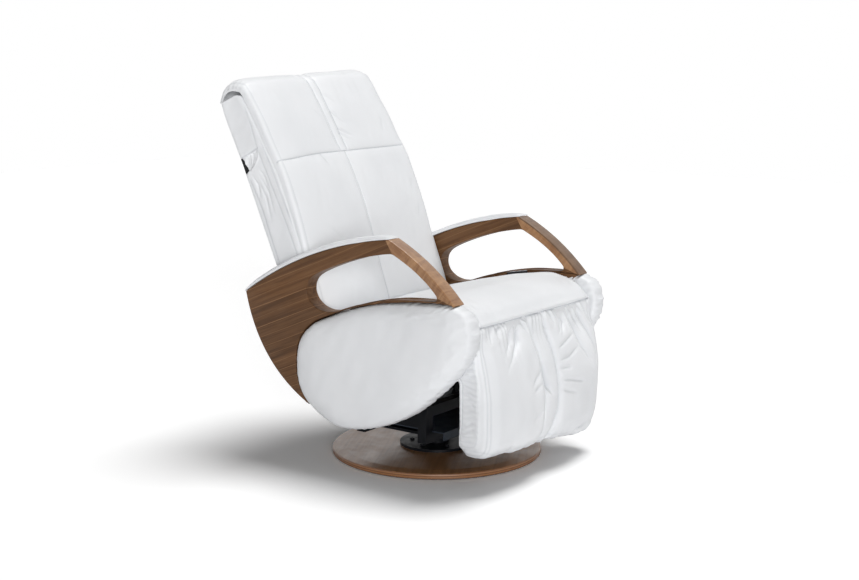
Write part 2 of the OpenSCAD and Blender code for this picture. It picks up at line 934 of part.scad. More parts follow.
// Shares of the backrest's height, and how far behind its hinge line as shares of its depth: up the front of
// the back body.
body_front_shares = [
    [0.077, -0.06], [0.15, -0.09], [0.22, -0.12], [0.29, -0.145], [0.375, -0.19], [0.5, -0.223], [0.61, -0.2],
    [0.695, -0.11], [0.79, -0.02], [0.88, 0.09], [0.935, 0.22],
];
// The same up its rear.
body_rear_shares = [
    [0.077, 0.93], [0.12, 1], [0.22, 1], [0.4, 1], [0.51, 1], [0.62, 1], [0.72, 1],
    [0.82, 1], [0.88, 0.98], [0.92, 0.9], [0.95, 0.65],
];
body_lanes = 13;
body_rows = 16;

// How far the back's top rises at u across and at a share of its height.
function arch(u, share) = back_arch * bump(u) * pow(share, 8);

module back_body() {
    sheet = function (shares) let (line = curve(shares, 3)) [
        for (i = [0 : body_lanes - 1]) let (
            u = sin(90 * (2 * i / (body_lanes - 1) - 1)),
            edge = 0.85 + 0.15 * pow(1 - pow(abs(u), 12), 0.5)
        ) [
            for (j = [0 : body_rows - 1]) let (
                s = along(line, j / (body_rows - 1)),
                mid = 0.4,
                w = back_d * (mid + (s.y - mid) * edge),
                p = back_point(s.x * back_l + arch(u, s.x), w)
            ) [u * back_w / 2, p.x, p.y]
        ]
    ];
    color("white") difference() {
        between(sheet(body_front_shares), sheet(body_rear_shares));
        on_back() {
            side_plate(-cavity_w / 2, cavity_w) cavity_outline();
            block([-slot_w / 2, -back_d, slot_low], [slot_w / 2, back_d / 2, slot_high]);
            both_sides() rod_x(back_w / 2 - hand_hole_d, back_w, [hand_hole_w, hand_hole_v], hand_hole_r);
        }
    }
}

// The cavity from the side, in the plane of w and v: its front follows the front of the body.
module cavity_outline() {
    rear = back_d + back_tube;
    low = cavity_low - front_wall;
    polygon([
        [front_wall - cavity_front_share * back_d, low],
        [front_wall - cavity_front_share * back_d, cavity_bend_share * back_l],
        [front_wall + cavity_top_share * back_d, cavity_high],
        [rear, cavity_high],
        [rear, low],
    ]);
}

cavity_bend_share = 0.6;
cavity_front_share = 0.17;
cavity_top_share = 0.12;

// The half-round hole in the side of the back body
hand_hole_r = 30;
hand_hole_d = 30;
hand_hole_v = 533;
hand_hole_w = 92;

// The overlay pad goes on over the top and hangs behind.
overlay_shares = [
    each body_front_shares, [0.962, 0.4], [0.968, 0.62], [0.955, 0.82], [0.925, 0.97], [0.88, 1.03],
];
overlay_lanes = 19;
overlay_rows = 24;
cross_seam_row = 10;
overlay_gap = 1.5;
sewn_crown_share = 0.75;

module back_pad() {
    line = curve([for (s = overlay_shares) [s.x * back_l, s.y * back_d]], 4);
    rows = overlay_rows - 1;
    lanes = overlay_lanes - 1;
    seam_t = cross_seam_row / rows;
    sheet = function (outer) [
        for (i = [0 : lanes]) let (
            u = 2 * i / lanes - 1,
            puff_x = pow(bump(2 * abs(u) - 1), 0.35),
            round_x = pow(1 - pow(abs(u), 20), 0.3)
        ) [
            for (j = [0 : rows]) let (
                t = j / rows,
                p = along(line, t),
                q = along(line, min(1, t + 0.01)) - along(line, max(0, t - 0.01)),
                out = [q.y, -q.x] / norm(q),
                panel = t < seam_t ? 2 * t / seam_t - 1 : 2 * (t - seam_t) / (1 - seam_t) - 1,
                whole = bump(u) * bump(2 * t - 1),
                puff = sewn_crown_share * puff_x * pow(bump(panel), 0.35) + (1 - sewn_crown_share) * whole,
                round_t = pow(1 - pow(abs(2 * t - 1), 30), 0.3),
                crown = overlay_crown * (1.25 - 0.5 * t) * puff,
                thick = overlay_gap + overlay_t * (0.35 + 0.65 * min(round_x, round_t)) + crown,
                at = p + out * (outer ? thick : overlay_gap),
                place = back_point(at.x + arch(u, p.x / back_l), at.y)
            ) [u * back_w / 2, place.x, place.y]
        ]
    ];
    color("white") between(sheet(true), sheet(false));
}

module guide_rails() {
    color("silver") on_back() for (x = [-rail_x, rail_x])
        translate([x, rail_w, lower_bar + back_tube]) cylinder(r = rail_r, h = upper_bar - lower_bar - back_tube);
}

motor_l = 70;
motor_w = 64;
motor_d = 48;
journal_l = 10;
screw_low = lower_bar + back_tube + motor_l;

module screw_motor() {
    color("#2a2c30") on_back() difference() {
        soft_block([-motor_w / 2, rail_w - motor_d / 2, lower_bar + back_tube],
            [motor_w / 2, rail_w + motor_d / 2, screw_low], control_wall_r);
        translate([0, rail_w, screw_low - journal_l]) cylinder(r = journal_r + run_fit, h = journal_l + over);
    }
}

module lead_screw() {
    length = upper_bar - screw_low - 2 * slip;
    color("silver") on_back() translate([0, rail_w, screw_low + slip]) {
        cylinder(r = screw_r, h = length);
        translate([0, 0, -journal_l]) cylinder(r = journal_r, h = length + 2 * journal_l);
    }
}

// Massage carriage

axle_r = 4.8;
roller_edge_r = 6;

module carriage() {
    face_w = rail_w - bearing_r;
    color("dimgray") on_back() translate([0, 0, carriage_v]) difference() {
        union() {
            block([-carriage_w / 2, face_w, -carriage_h / 2], [carriage_w / 2, face_w + carriage_t, carriage_h / 2]);
            for (x = [-rail_x, 0, rail_x])
                translate([x, rail_w, -carriage_h / 2]) cylinder(r = bearing_r, h = carriage_h);
            both_sides() side_plate(ear_x, ear_t) hull() {
                translate([shaft_w, 0]) circle(shaft_r * 1.6, $fn = 32);
                translate([face_w, -carriage_h / 4]) square([over, carriage_h / 2]);
            }
            rod_x(-ear_x - over, 2 * ear_x + 2 * over, [shaft_w, 0], shaft_r);
        }
        for (x = [-rail_x, rail_x])
            translate([x, rail_w, -carriage_h]) cylinder(r = rail_r + run_fit, h = 2 * carriage_h);
        translate([0, rail_w, -carriage_h]) cylinder(r = screw_r + run_fit, h = 2 * carriage_h);
    }
}

module roller_arm() {
    axle_l = roller_arm_t + side_gap + roller_w;
    color("#c8c8c0") on_back() translate([0, 0, carriage_v]) difference() {
        union() {
            side_plate(roller_arm_x, roller_arm_t) {
                hull() {
                    translate([shaft_w, 0]) circle(shaft_r * 1.7, $fn = 32);
                    translate([roller_w_place, roller_reach]) circle(shaft_r * 1.2, $fn = 32);
                }
                hull() {
                    translate([shaft_w, 0]) circle(shaft_r * 1.7, $fn = 32);
                    translate([roller_w_place, -roller_reach]) circle(shaft_r * 1.2, $fn = 32);
                }
            }
            for (v = [-roller_reach, roller_reach])
                rod_x(roller_arm_x + roller_arm_t - axle_l, axle_l, [roller_w_place, v], axle_r);
        }
        rod_x(roller_arm_x - over, roller_arm_t + 2 * over, [shaft_w, 0], shaft_r + run_fit);
    }
}

module roller_arm_right() { mirror([1, 0, 0]) roller_arm(); }
module roller_arm_left() { roller_arm(); }

module roller(v) {
    low = roller_arm_x - side_gap - roller_w;
    bore_r = axle_r + run_fit;
    inner_r = roller_r - roller_edge_r;
    color("ivory") on_back() translate([low, roller_w_place, carriage_v + v]) rotate([0, 90, 0]) rotate_extrude() {
        translate([bore_r, 0]) square([inner_r - bore_r, roller_w]);
        translate([inner_r - over, roller_edge_r]) square([roller_edge_r + over, roller_w - 2 * roller_edge_r]);
        for (z = [roller_edge_r, roller_w - roller_edge_r]) translate([inner_r, z]) circle(roller_edge_r, $fn = 32);
    }
}

module roller_right_upper() { mirror([1, 0, 0]) roller(roller_reach); }
module roller_right_lower() { mirror([1, 0, 0]) roller(-roller_reach); }
module roller_left_upper() { roller(roller_reach); }
module roller_left_lower() { roller(-roller_reach); }

// Leg rest

leg_lug_x = lug_x - side_gap - lug_t;
leg_tube_r = 12;
leg_board_y = 290;
leg_board_t = 10;
leg_board_low = 112;
leg_board_high = 325;
leg_board_w = 540;
leg_arm_d = 22;

module leg_frame() {
    strip_y = leg_board_t - leg_board_y;
    foot_z = leg_board_low + leg_arm_d;
    color("dimgray") difference() {
        union() {
            both_sides() side_plate(leg_lug_x, lug_t) {
                hull() {
                    translate(leg_hinge) circle(leg_tube_r + side_gap, $fn = 32);
                    translate([strip_y, leg_board_high]) square([leg_arm_d, leg_arm_d]);
                }
                translate([strip_y, foot_z]) square([leg_arm_d, leg_board_high + leg_arm_d - foot_z]);
            }
            rod_x(-leg_lug_x - over, 2 * leg_lug_x + 2 * over, leg_hinge, leg_tube_r);
            for (z = [foot_z, leg_board_high - 2 * leg_arm_d])
                block([-leg_lug_x - over, strip_y, z], [leg_lug_x + over, strip_y + leg_arm_d, z + leg_arm_d]);
            lever_plates(leg_lever_x) leg_lever_outline();
        }
        both_sides() rod_x(leg_lug_x + lug_t - tube, tube + over, leg_hinge, pin_r);
        leg_slot();
    }
}

module leg_hinge_pins() {
    color("silver") both_sides() hinge_pin(leg_hinge, leg_lug_x + lug_t - tube, half_chassis + slip);
}

module leg_board() {
    half = leg_board_w / 2;
    color("burlywood")
        block([-half, -leg_board_y, leg_board_low], [half, leg_board_t - leg_board_y, leg_board_high]);
}

// Shares of the leg rest's depth and length, forward of the hinge and below it, down the front of the cover.
leg_front_shares = [
    [0.15, -0.04], [0.25, 0], [0.35, 0.1], [0.62, 0.235], [0.83, 0.375], [0.985, 0.53], [1, 0.7], [0.98, 0.83],
    [0.9, 0.92], [0.68, 0.975], [0.3, 0.99], [-0.15, 0.985], [-0.38, 0.945], [-0.5, 0.9],
];
// The same down the inside of the cover, past the levers and the board.
leg_inner_shares = [
    [0.14, -0.034], [0.212, 0], [0.19, 0.05], [0.17, 0.14], [0.12, 0.23], [-0.1, 0.29], [-0.49, 0.32], [-0.505, 0.4],
    [-0.505, 0.5], [-0.505, 0.6], [-0.505, 0.7], [-0.505, 0.78], [-0.505, 0.84], [-0.508, 0.89],
];
leg_lanes = 45;
leg_rows = 13;
gathers = 11;

// How far the cover stands out in its gathers: steep under the seam and fading towards the hem.
function gather(u, t) = let (
    centre = abs(u) < 0.09 ? 0.2 : 1,
    fold = cos(360 * gathers / 2 * abs(u) + 40 * sin(500 * u)),
    side = 0.35 + 0.65 * pow(abs(u), 0.5)
) gather_d * centre * side * fold * min(1, max(0, 6 * t - 0.5)) * pow(max(0, 1 - t), 0.6);

module leg_cushion() {
    front = curve(leg_front_shares, 4);
    inner = curve(leg_inner_shares, 4);
    sheet = function (shares, outer) [
        for (i = [0 : leg_lanes - 1]) let (
            u = sin(90 * (2 * i / (leg_lanes - 1) - 1) * 0.92) / sin(90 * 0.92),
            round_x = pow(1 - pow(abs(u), 16), 0.45),
            edge = 0.56 + 0.44 * round_x
        ) [
            for (j = [0 : leg_rows - 1]) let (
                t = j / (leg_rows - 1),
                s = along(shares, t),
                fold = outer ? gather(u, t) * min(1, 8 * (1 - abs(u))) : 0,
                deep = s.x * leg_d + fold - (outer && s.x > 0 ? leg_d * s.x * (1 - edge) * min(1, 6 * t) : 0),
                drop = s.y * leg_l * (outer ? 1 - 0.05 * (1 - round_x) : 1)
            ) [u * leg_w / 2, -leg_hinge_y - deep, leg_hinge_z - drop]
        ]
    ];
    color("white") between(sheet(inner, false), sheet(front, true));
}

// Actuators: each lies fixed on the chassis, and its rod's cross pin works in a slotted lever

rod_eye_w = 24;
lever_mid = rod_eye_w / 2 + side_gap + lug_t / 2;
leg_lever_x = 60;
back_lever_x = -60;
cross_pin_r = 5;
lever_end_r = 2.6 * cross_pin_r;
leg_rod_tilt = 20;
back_rod_tilt = 25;
leg_swing_angle = 80;
back_swing_angle = 45;
// How far the pin leaves the slot's middle line, as a share of the lever
leg_slot_share = 0.033;
back_slot_share = 0.007;
// How far the pin is shifted along its line at rest, as a share of the lever
leg_shift_share = 0.042;
back_shift_share = 0.006;

leg_rod_way = [-cos(leg_rod_tilt), sin(leg_rod_tilt)];
back_rod_way = [cos(back_rod_tilt), sin(back_rod_tilt)];
leg_rod_foot = leg_hinge + leg_lever * [-sin(leg_rod_tilt), -cos(leg_rod_tilt)];
back_rod_foot = back_hinge + back_lever * [sin(back_rod_tilt), -cos(back_rod_tilt)];
leg_pin = leg_rod_foot + leg_rod_way * leg_lever * (leg_shift_share - tan(leg_swing_angle / 2));
back_pin = back_rod_foot + back_rod_way * back_lever * (tan(back_swing_angle / 2) - back_shift_share);

// Slots run along the lever, from the rod line's nearest distance to its furthest.
slot_end_gap = 1.5;

module slot_at(hinge, rest_angle, lever, swing, share) {
    half_w = cross_pin_r + lever * share + run_fit + slip;
    near = lever - cross_pin_r - slot_end_gap;
    far = lever / cos(swing / 2) + cross_pin_r + slot_end_gap;
    translate(hinge) rotate(rest_angle) translate([near, -half_w]) square([far - near, 2 * half_w]);
}

// The lever's angle at rest, which the pin's place tells but for its shift.
leg_lever_angle = 270 - leg_rod_tilt + leg_swing_angle / 2;
back_lever_angle = 270 + back_rod_tilt + back_swing_angle / 2;

module lever_plates(x) {
    for (side = [-1, 1]) side_plate(x + side * lever_mid - lug_t / 2, lug_t) children();
}

// The end of a lever, round its slot's far end.
module lever_end(rest_angle, lever, swing) {
    rotate(rest_angle) translate([lever / cos(swing / 2), 0]) circle(lever_end_r, $fn = 32);
}

module leg_lever_outline() {
    translate(leg_hinge) hull() {
        circle(leg_tube_r + side_gap, $fn = 32);
        lever_end(leg_lever_angle, leg_lever, leg_swing_angle);
    }
}

module leg_slot() {
    side_plate(leg_lever_x - tube, 2 * tube)
        slot_at(leg_hinge, leg_lever_angle, leg_lever, leg_swing_angle, leg_slot_share);
}

// The back lever hangs from the lower bar, drawn in the backrest's own plane, where its hinge is the origin.
module back_lever_outline() {
    hull() {
        lever_end(back_lever_angle + back_lean, back_lever, back_swing_angle);
        translate([frame_w, lower_bar]) square([back_tube, over]);
    }
}

module back_slot() {
    side_plate(back_lever_x - tube, 2 * tube)
        slot_at([0, 0], back_lever_angle + back_lean, back_lever, back_swing_angle, back_slot_share);
}

leg_ram_l = 290;
back_ram_l = 264;
motor_r = 22;
motor_len = 90;
gearbox_t = 26;

// An actuator along its rod's line: the tube, the gearbox at its rear and the motor beside it.
module ram(x, pin, way, front, length, side) {
    angle = atan2(way.y, way.x);
    translate([x, pin.x, pin.y]) rotate([angle, 0, 0]) translate([0, -front, 0]) {
        difference() {
            union() {
                rotate([90, 0, 0]) cylinder(r = ram_r, h = length);
                ram_gearbox(side, length);
            }
            translate([0, over, 0]) rotate([90, 0, 0]) cylinder(r = rod_r + run_fit, h = length - gearbox_t);
        }
    }
}

// The gearbox at the rear of an actuator's tube, with the motor beside the tube.
module ram_gearbox(side, length) {
    gear_x = side * (ram_r + motor_r + side_gap);
    block([min(0, gear_x) - ram_r, -length, -ram_r], [max(0, gear_x) + ram_r, gearbox_t - length, ram_r]);
    translate([gear_x, gearbox_t - length, 0]) rotate([-90, 0, 0]) cylinder(r = motor_r, h = motor_len);
}

// A rod from its cross pin back into the tube.
module ram_rod(x, pin, way, length) {
    angle = atan2(way.y, way.x);
    translate([x, pin.x, pin.y]) rotate([angle, 0, 0]) {
        rotate([90, 0, 0]) cylinder(r = rod_r, h = length);
        rotate([0, 90, 0]) cylinder(r = rod_r * 1.3, h = rod_eye_w, center = true);
        rotate([0, 90, 0]) cylinder(r = cross_pin_r, h = 2 * (lever_mid + lug_t), center = true);
    }
}

leg_ram_front = 68;
back_ram_front = 90;
leg_rod_l = 270;
back_rod_l = 250;

// The place on a rod's line at a distance y behind the axis.
function on_line(pin, way, y) = pin + way * ((y - pin.x) / way.x);

module leg_actuator() {
    hanger_y = mid_tube_y + tube / 2;
    at = on_line(leg_pin, leg_rod_way, hanger_y);
    color("#3a3d42") {
        ram(leg_lever_x, leg_pin, leg_rod_way, leg_ram_front, leg_ram_l, 1);
        block([leg_lever_x - tube / 2, hanger_y - tube / 2, at.y + ram_r / 2],
            [leg_lever_x + tube / 2, hanger_y + tube / 2, mid_tube_z]);
    }
}

module leg_actuator_rod() {
    color("silver") ram_rod(leg_lever_x, leg_pin, leg_rod_way, leg_rod_l);
}

module back_actuator() {
    face_y = tube / 2 - post_y;
    color("#3a3d42") {
        ram(back_lever_x, back_pin, back_rod_way, back_ram_front, back_ram_l, -1);
        block([back_lever_x - tube / 2, face_y, low_tube_z + tube / 3],
            [back_lever_x + tube / 2, face_y + tube, low_tube_z + tube]);
    }
}

module back_actuator_rod() {
    color("silver") ram_rod(back_lever_x, back_pin, back_rod_way, back_rod_l);
}

base_mat();
base_disc();
base_column();
base_bolts();
swivel_bush();
thrust_ring();
swivel_spindle();
swivel_plate();
chassis_frame();
chassis_side_plates();
chassis_tray();
control_box();
mains_inlet();
arm_bolts();
seat_board();
seat_cushion();
arm_right();
arm_left();
arm_facing_right();
arm_facing_left();
arm_pad_right();
arm_pad_left();
side_board_right();
side_board_left();
side_pad_right();
side_pad_left();
keypad_panel();
key_recline();
key_leg_rest();
key_massage();
back_frame();
back_hinge_pins();
back_shell();
back_body();
back_pad();
guide_rails();
lead_screw();
screw_motor();
carriage();
roller_arm_right();
roller_arm_left();
roller_right_upper();
roller_right_lower();
roller_left_upper();
roller_left_lower();
leg_frame();
leg_hinge_pins();
leg_board();
leg_cushion();
back_actuator();
back_actuator_rod();
leg_actuator();
leg_actuator_rod();
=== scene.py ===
"""Looks of a reclining massage armchair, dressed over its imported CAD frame.

Every soft piece, the wooden arms and the seams are surfaces worked out with numpy in the frame's own
metres: +Z up, -Y the way the chair faces, the sitter's right at -X.
"""

import logging
import math
from dataclasses import dataclass, field
from enum import Enum
from typing import Callable, Optional, Sequence

import bmesh
import bpy
import numpy as np
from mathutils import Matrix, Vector


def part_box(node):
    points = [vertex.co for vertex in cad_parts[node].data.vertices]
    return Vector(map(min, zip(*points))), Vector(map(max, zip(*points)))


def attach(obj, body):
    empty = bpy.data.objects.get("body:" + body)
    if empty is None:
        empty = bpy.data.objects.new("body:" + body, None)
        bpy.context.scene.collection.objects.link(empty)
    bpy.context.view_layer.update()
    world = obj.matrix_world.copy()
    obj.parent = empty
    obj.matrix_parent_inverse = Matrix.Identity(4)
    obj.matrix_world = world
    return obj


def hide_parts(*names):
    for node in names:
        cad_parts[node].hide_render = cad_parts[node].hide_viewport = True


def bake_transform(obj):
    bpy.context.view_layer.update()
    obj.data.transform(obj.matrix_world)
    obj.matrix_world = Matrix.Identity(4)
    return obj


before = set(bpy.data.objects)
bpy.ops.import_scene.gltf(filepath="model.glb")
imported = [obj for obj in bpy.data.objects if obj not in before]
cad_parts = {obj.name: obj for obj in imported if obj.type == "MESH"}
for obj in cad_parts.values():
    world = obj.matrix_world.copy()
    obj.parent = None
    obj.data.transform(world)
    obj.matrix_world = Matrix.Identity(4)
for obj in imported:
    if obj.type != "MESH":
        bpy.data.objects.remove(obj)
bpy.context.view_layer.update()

LOG = logging.getLogger("chair")
Array = np.ndarray
Mesh, Material, Socket = bpy.types.Mesh, bpy.types.Material, bpy.types.NodeSocket
Vec3 = tuple[float, float, float]
Color = tuple[float, float, float]


class Side(Enum):
    """The sitter's two sides, valued by the sign of X."""

    RIGHT = -1
    LEFT = 1

    @property
    def word(self) -> str:
        """The side's name in the names of nodes."""
        return self.name.lower()


# Places and directions shared by the pieces, in metres


def turned(degrees: float) -> tuple[float, float]:
    """Cosine and sine of an angle in degrees."""
    return math.cos(math.radians(degrees)), math.sin(math.radians(degrees))


@dataclass(frozen=True)
class Backrest:
    """The leaning plane of the backrest: v runs up it and w behind it from the hinge."""

    hinge_y: float = 0.185
    hinge_z: float = 0.392
    lean: float = 23.6

    def place(self, x: Array, v: Array, w: Array) -> Array:
        """World points of backrest coordinates.

        Args:
            x: Distance to the sitter's left.
            v: Distance up the backrest from its hinge.
            w: Distance behind the hinge line.

        Returns:
            Points with X, Y and Z in the last axis.
        """
        c, s = turned(self.lean)
        x, v, w = np.broadcast_arrays(x, v, w)
        return np.stack([x, self.hinge_y + v * s + w * c, self.hinge_z + v * c - w * s], -1)

    def local(self, points: Array) -> tuple[Array, Array]:
        """Backrest coordinates v and w of world points.

        Args:
            points: Points with X, Y and Z in the last axis.

        Returns:
            The distances up the backrest and behind the hinge line.
        """
        c, s = turned(self.lean)
        y, z = points[..., 1] - self.hinge_y, points[..., 2] - self.hinge_z
        return y * s + z * c, y * c - z * s


@dataclass(frozen=True)
class SeatPlane:
    """The sloping plane of the seat: s runs rearwards from its front corner and t above it."""

    corner_y: float = -0.255
    corner_z: float = 0.395
    tilt: float = 9.7

    def place(self, x: Array, s: Array, t: Array) -> Array:
        """World points of seat coordinates.

        Args:
            x: Distance to the sitter's left.
            s: Distance rearwards from the front corner.
            t: Distance above the plane.

        Returns:
            Points with X, Y and Z in the last axis.
        """
        c, n = turned(self.tilt)
        x, s, t = np.broadcast_arrays(x, s, t)
        return np.stack([x, self.corner_y + s * c + t * n, self.corner_z + t * c - s * n], -1)


BACK = Backrest()
SEAT = SeatPlane()


# Curves and ripples as whole arrays


def smooth(low: float, high: float, value: Array) -> Array:
    """Rises smoothly from 0 at low to 1 at high, as 3t^2 - 2t^3."""
    t = np.clip((value - low) / (high - low), 0.0, 1.0)
    return t * t * (3.0 - 2.0 * t)


def bell(value: Array, middle: Array, width: Array) -> Array:
    """The bell exp(-((value - middle) / width)^2)."""
    return np.exp(-(((value - middle) / width) ** 2))


def stripe(value: Array, middle: Array, width: float) -> Array:
    """The sharp-topped line exp(-|value - middle| / width), as narrow as a seam."""
    return np.exp(-np.abs(value - middle) / width)


def spline(points: Sequence[Sequence[float]], count: int, closed: bool = False) -> Array:
    """Catmull-Rom curve through the points, cut into equal lengths.

    Each stretch is the cubic that leaves a point along the chord of its two neighbours. The dense
    curve is read again at equal steps of its running length.

    Args:
        points: Points that the curve passes.
        count: Number of points wanted.
        closed: Whether the curve returns to its start, which isn't repeated.

    Returns:
        An array of count points.
    """
    p = np.asarray(points, float)
    if closed:
        p = np.concatenate([p[-1:], p, p[:2]])
    else:
        p = np.concatenate([2 * p[:1] - p[1:2], p, 2 * p[-1:] - p[-2:-1]])
    a, b, c, d = p[:-3, None], p[1:-2, None], p[2:-1, None], p[3:, None]
    t = np.linspace(0, 1, 24, endpoint=False)[None, :, None]
    dense = 0.5 * (2 * b + (c - a) * t + (2 * a - 5 * b + 4 * c - d) * t**2 + (3 * b - a - 3 * c + d) * t**3)
    dense = np.concatenate([dense.reshape(-1, p.shape[1]), p[-2:-1]])
    return even(dense, count, closed)


def even(line: Array, count: int, closed: bool = False) -> Array:
    """Reads a polyline again at equal steps of its running length."""
    run = running(line)
    return read_line(line, np.linspace(0, run[-1], count, endpoint=not closed), run)


def running(line: Array) -> Array:
    """Running length at each point of a polyline."""
    return np.concatenate([[0.0], np.cumsum(np.linalg.norm(np.diff(line, axis=0), axis=1))])


def read_line(line: Array, at: Array, run: Optional[Array] = None) -> Array:
    """Reads a polyline between its points, at their numbers or at values of run, which rises along it."""
    run = np.arange(len(line)) if run is None else run
    return np.stack([np.interp(at, run, column) for column in line.T], -1)


def unit(vectors: Array) -> Array:
    """The vectors of the last axis, at length 1."""
    return vectors / np.maximum(np.linalg.norm(vectors, axis=-1, keepdims=True), 1e-12)


def left_of(line: Array) -> Array:
    """Unit normals to the left of a flat line: its central difference (a, b) turned to (-b, a)."""
    way = np.gradient(line, axis=0)
    return unit(np.stack([-way[:, 1], way[:, 0]], -1))


def bowed(a: Sequence[float], b: Sequence[float], rise: float, steps: int = 24) -> Array:
    """Parabola from a to b, without b, that rises by rise to the left of the way.

    Args:
        a: Its start.
        b: Its end.
        rise: Height of its middle over the chord.
        steps: Number of points.

    Returns:
        The points.
    """
    a, b = np.asarray(a, float), np.asarray(b, float)
    d = b - a
    side = np.array([-d[1], d[0]]) / np.linalg.norm(d)
    t = np.linspace(0, 1, steps, endpoint=False)[:, None]
    return a + d * t + side * rise * 4 * t * (1 - t)


def ripple(p: Array, q: Array, seed: int, scale: float, octaves: int = 3) -> Array:
    """Soft noise between about -1 and 1: a sum of sines in random directions.

    Each octave is 1.9 times finer than the one before and 0.62 times as strong.

    Args:
        p: First coordinate.
        q: Second coordinate.
        seed: Seed of the directions and phases.
        scale: Wavelength of the coarsest octave.
        octaves: Number of octaves.

    Returns:
        The noise, of the shape of p.
    """
    draw = np.random.default_rng(seed)
    total = np.zeros(np.broadcast(p, q).shape)
    for octave in range(octaves):
        waves = draw.uniform(0, 2 * np.pi, (7, 2))
        size = 2 * np.pi / scale * 1.9**octave * draw.uniform(0.7, 1.35, 7)
        for (way, phase), k in zip(waves, size):
            total += np.sin(k * (p * np.cos(way) + q * np.sin(way)) + phase) * 0.62**octave / 4.2
    return total


def creases(across: Array, along: Array, paths: Sequence["Crease"]) -> Array:
    """Depth of sharp valleys: each fades as exp(-|d| / width) beside its path.

    The bottom of a valley is rounded over 0.18 of its width.

    Args:
        across: Coordinate across the valleys.
        along: Coordinate along them.
        paths: The valleys.

    Returns:
        The depth at each point.
    """
    total = np.zeros(np.broadcast(across, along).shape)
    for c in paths:
        ends, middles = np.array(c.path, float).T[::-1]
        order = np.argsort(ends)
        middle = np.interp(along, ends[order], middles[order])
        low, high = ends.min(), ends.max()
        fade = (high - low) * c.fade
        inside = smooth(low, low + fade, along)
        inside = inside * (1 - smooth(high - fade, high, along) if c.both else along <= high + 1e-4)
        distance = np.sqrt((across - middle) ** 2 + (0.18 * c.width) ** 2)
        total += c.depth * inside * np.exp(-distance / c.width)
    return total


@dataclass(frozen=True)
class Crease:
    """A fold's valley, along points of (across, along).

    Attributes:
        path: Points of the valley.
        depth: Depth of the valley.
        width: How far it fades to each side.
        fade: Share of its length over which it runs out at its low end.
        both: Whether it also runs out at its high end.
    """

    path: tuple[tuple[float, float], ...]
    depth: float = 0.004
    width: float = 0.006
    fade: float = 0.6
    both: bool = False


# Meshes from grids


def ring_faces(rings: int, around: int) -> Array:
    """Faces between neighbouring closed rings of numbered points.

    Args:
        rings: Number of rings.
        around: Number of points of a ring.

    Returns:
        Four numbers for each face.
    """
    index = np.arange(rings * around).reshape(rings, around)
    index = np.concatenate([index, index[:, :1]], 1)
    a, b, c, d = index[:-1, :-1], index[1:, :-1], index[1:, 1:], index[:-1, 1:]
    return np.stack([a, b, c, d], -1).reshape(-1, 4)


def mesh_of(name: str, points: Array, quads: Array, triangles: Optional[Array] = None) -> Mesh:
    """Makes a mesh from arrays of points and faces.

    Args:
        name: Name of the mesh.
        points: Points, three numbers each.
        quads: Faces of four numbers.
        triangles: Faces of three numbers, or None.

    Returns:
        The mesh, with smooth faces.
    """
    triangles = np.zeros((0, 3), int) if triangles is None else triangles
    mesh = bpy.data.meshes.new(name)
    corners = np.concatenate([quads.reshape(-1), triangles.reshape(-1)]).astype(np.int32)
    sizes = np.concatenate([np.full(len(quads), 4), np.full(len(triangles), 3)]).astype(np.int32)
    mesh.vertices.add(len(points))
    mesh.vertices.foreach_set("co", np.ascontiguousarray(points, np.float32).reshape(-1))
    mesh.loops.add(len(corners))
    mesh.loops.foreach_set("vertex_index", corners)
    mesh.polygons.add(len(sizes))
    mesh.polygons.foreach_set("loop_start", np.concatenate([[0], np.cumsum(sizes)[:-1]]).astype(np.int32))
    mesh.polygons.foreach_set("use_smooth", np.ones(len(sizes), bool))
    mesh.update(calc_edges=True)
    mesh.validate()
    return mesh


def tube(name: str, rings: Array) -> Mesh:
    """Closed solid of stacked rings, each end closed by a fan on its middle.

    Args:
        name: Name of the mesh.
        rings: Points of shape (rings, points of a ring, 3).

    Returns:
        The mesh.
    """
    m, n = rings.shape[:2]
    points = np.concatenate([rings.reshape(-1, 3), rings[0].mean(0)[None], rings[-1].mean(0)[None]])
    k = np.arange(n)
    first = np.stack([np.roll(k, -1), np.full(n, m * n), k], -1)[:, [0, 2, 1]]
    last = np.stack([(m - 1) * n + k, (m - 1) * n + np.roll(k, -1), np.full(n, m * n + 1)], -1)[:, [0, 2, 1]]
    return mesh_of(name, points, ring_faces(m, n), np.concatenate([first, last]))


def normals(grid: Array, wrap: bool) -> Array:
    """Unit normals of a grid of points, from the cross product of its two central differences.

    Args:
        grid: Points in rows and columns.
        wrap: Whether each row returns to its start.

    Returns:
        A normal for each point.
    """
    if wrap:
        along = (np.roll(grid, -1, 1) - np.roll(grid, 1, 1)) / 2
    else:
        along = np.gradient(grid, axis=1)
    n = np.cross(np.gradient(grid, axis=0), along)
    return unit(n)


def outward(mesh: Mesh) -> Mesh:
    """Merges doubles and turns all faces outwards.

    Args:
        mesh: A closed mesh.

    Returns:
        The same mesh.
    """
    bm = bmesh.new()
    bm.from_mesh(mesh)
    bmesh.ops.remove_doubles(bm, verts=bm.verts, dist=1e-6)
    bmesh.ops.recalc_face_normals(bm, faces=bm.faces)
    bm.to_mesh(mesh)
    bm.free()
    return mesh


def crowded(low: float, high: float, count: int, places: Sequence[float] = (), width: float = 0.006,
            gain: float = 5.0) -> Array:
    """Values from low to high that stand closer together round the given places.

    The density is 1 plus gain times a bell at each place, and the values are read at equal steps of
    its running sum.

    Args:
        low: First value.
        high: Last value.
        count: Number of values.
        places: Where they crowd.
        width: Width of the bells.
        gain: How much denser they stand there.

    Returns:
        The values.
    """
    fine = np.linspace(low, high, 4000)
    density = 1.0 + gain * sum((bell(fine, p, width) for p in places), np.zeros_like(fine))
    run = np.concatenate([[0.0], np.cumsum((density[1:] + density[:-1]) / 2)])
    return np.interp(np.linspace(0, run[-1], count), run, fine)


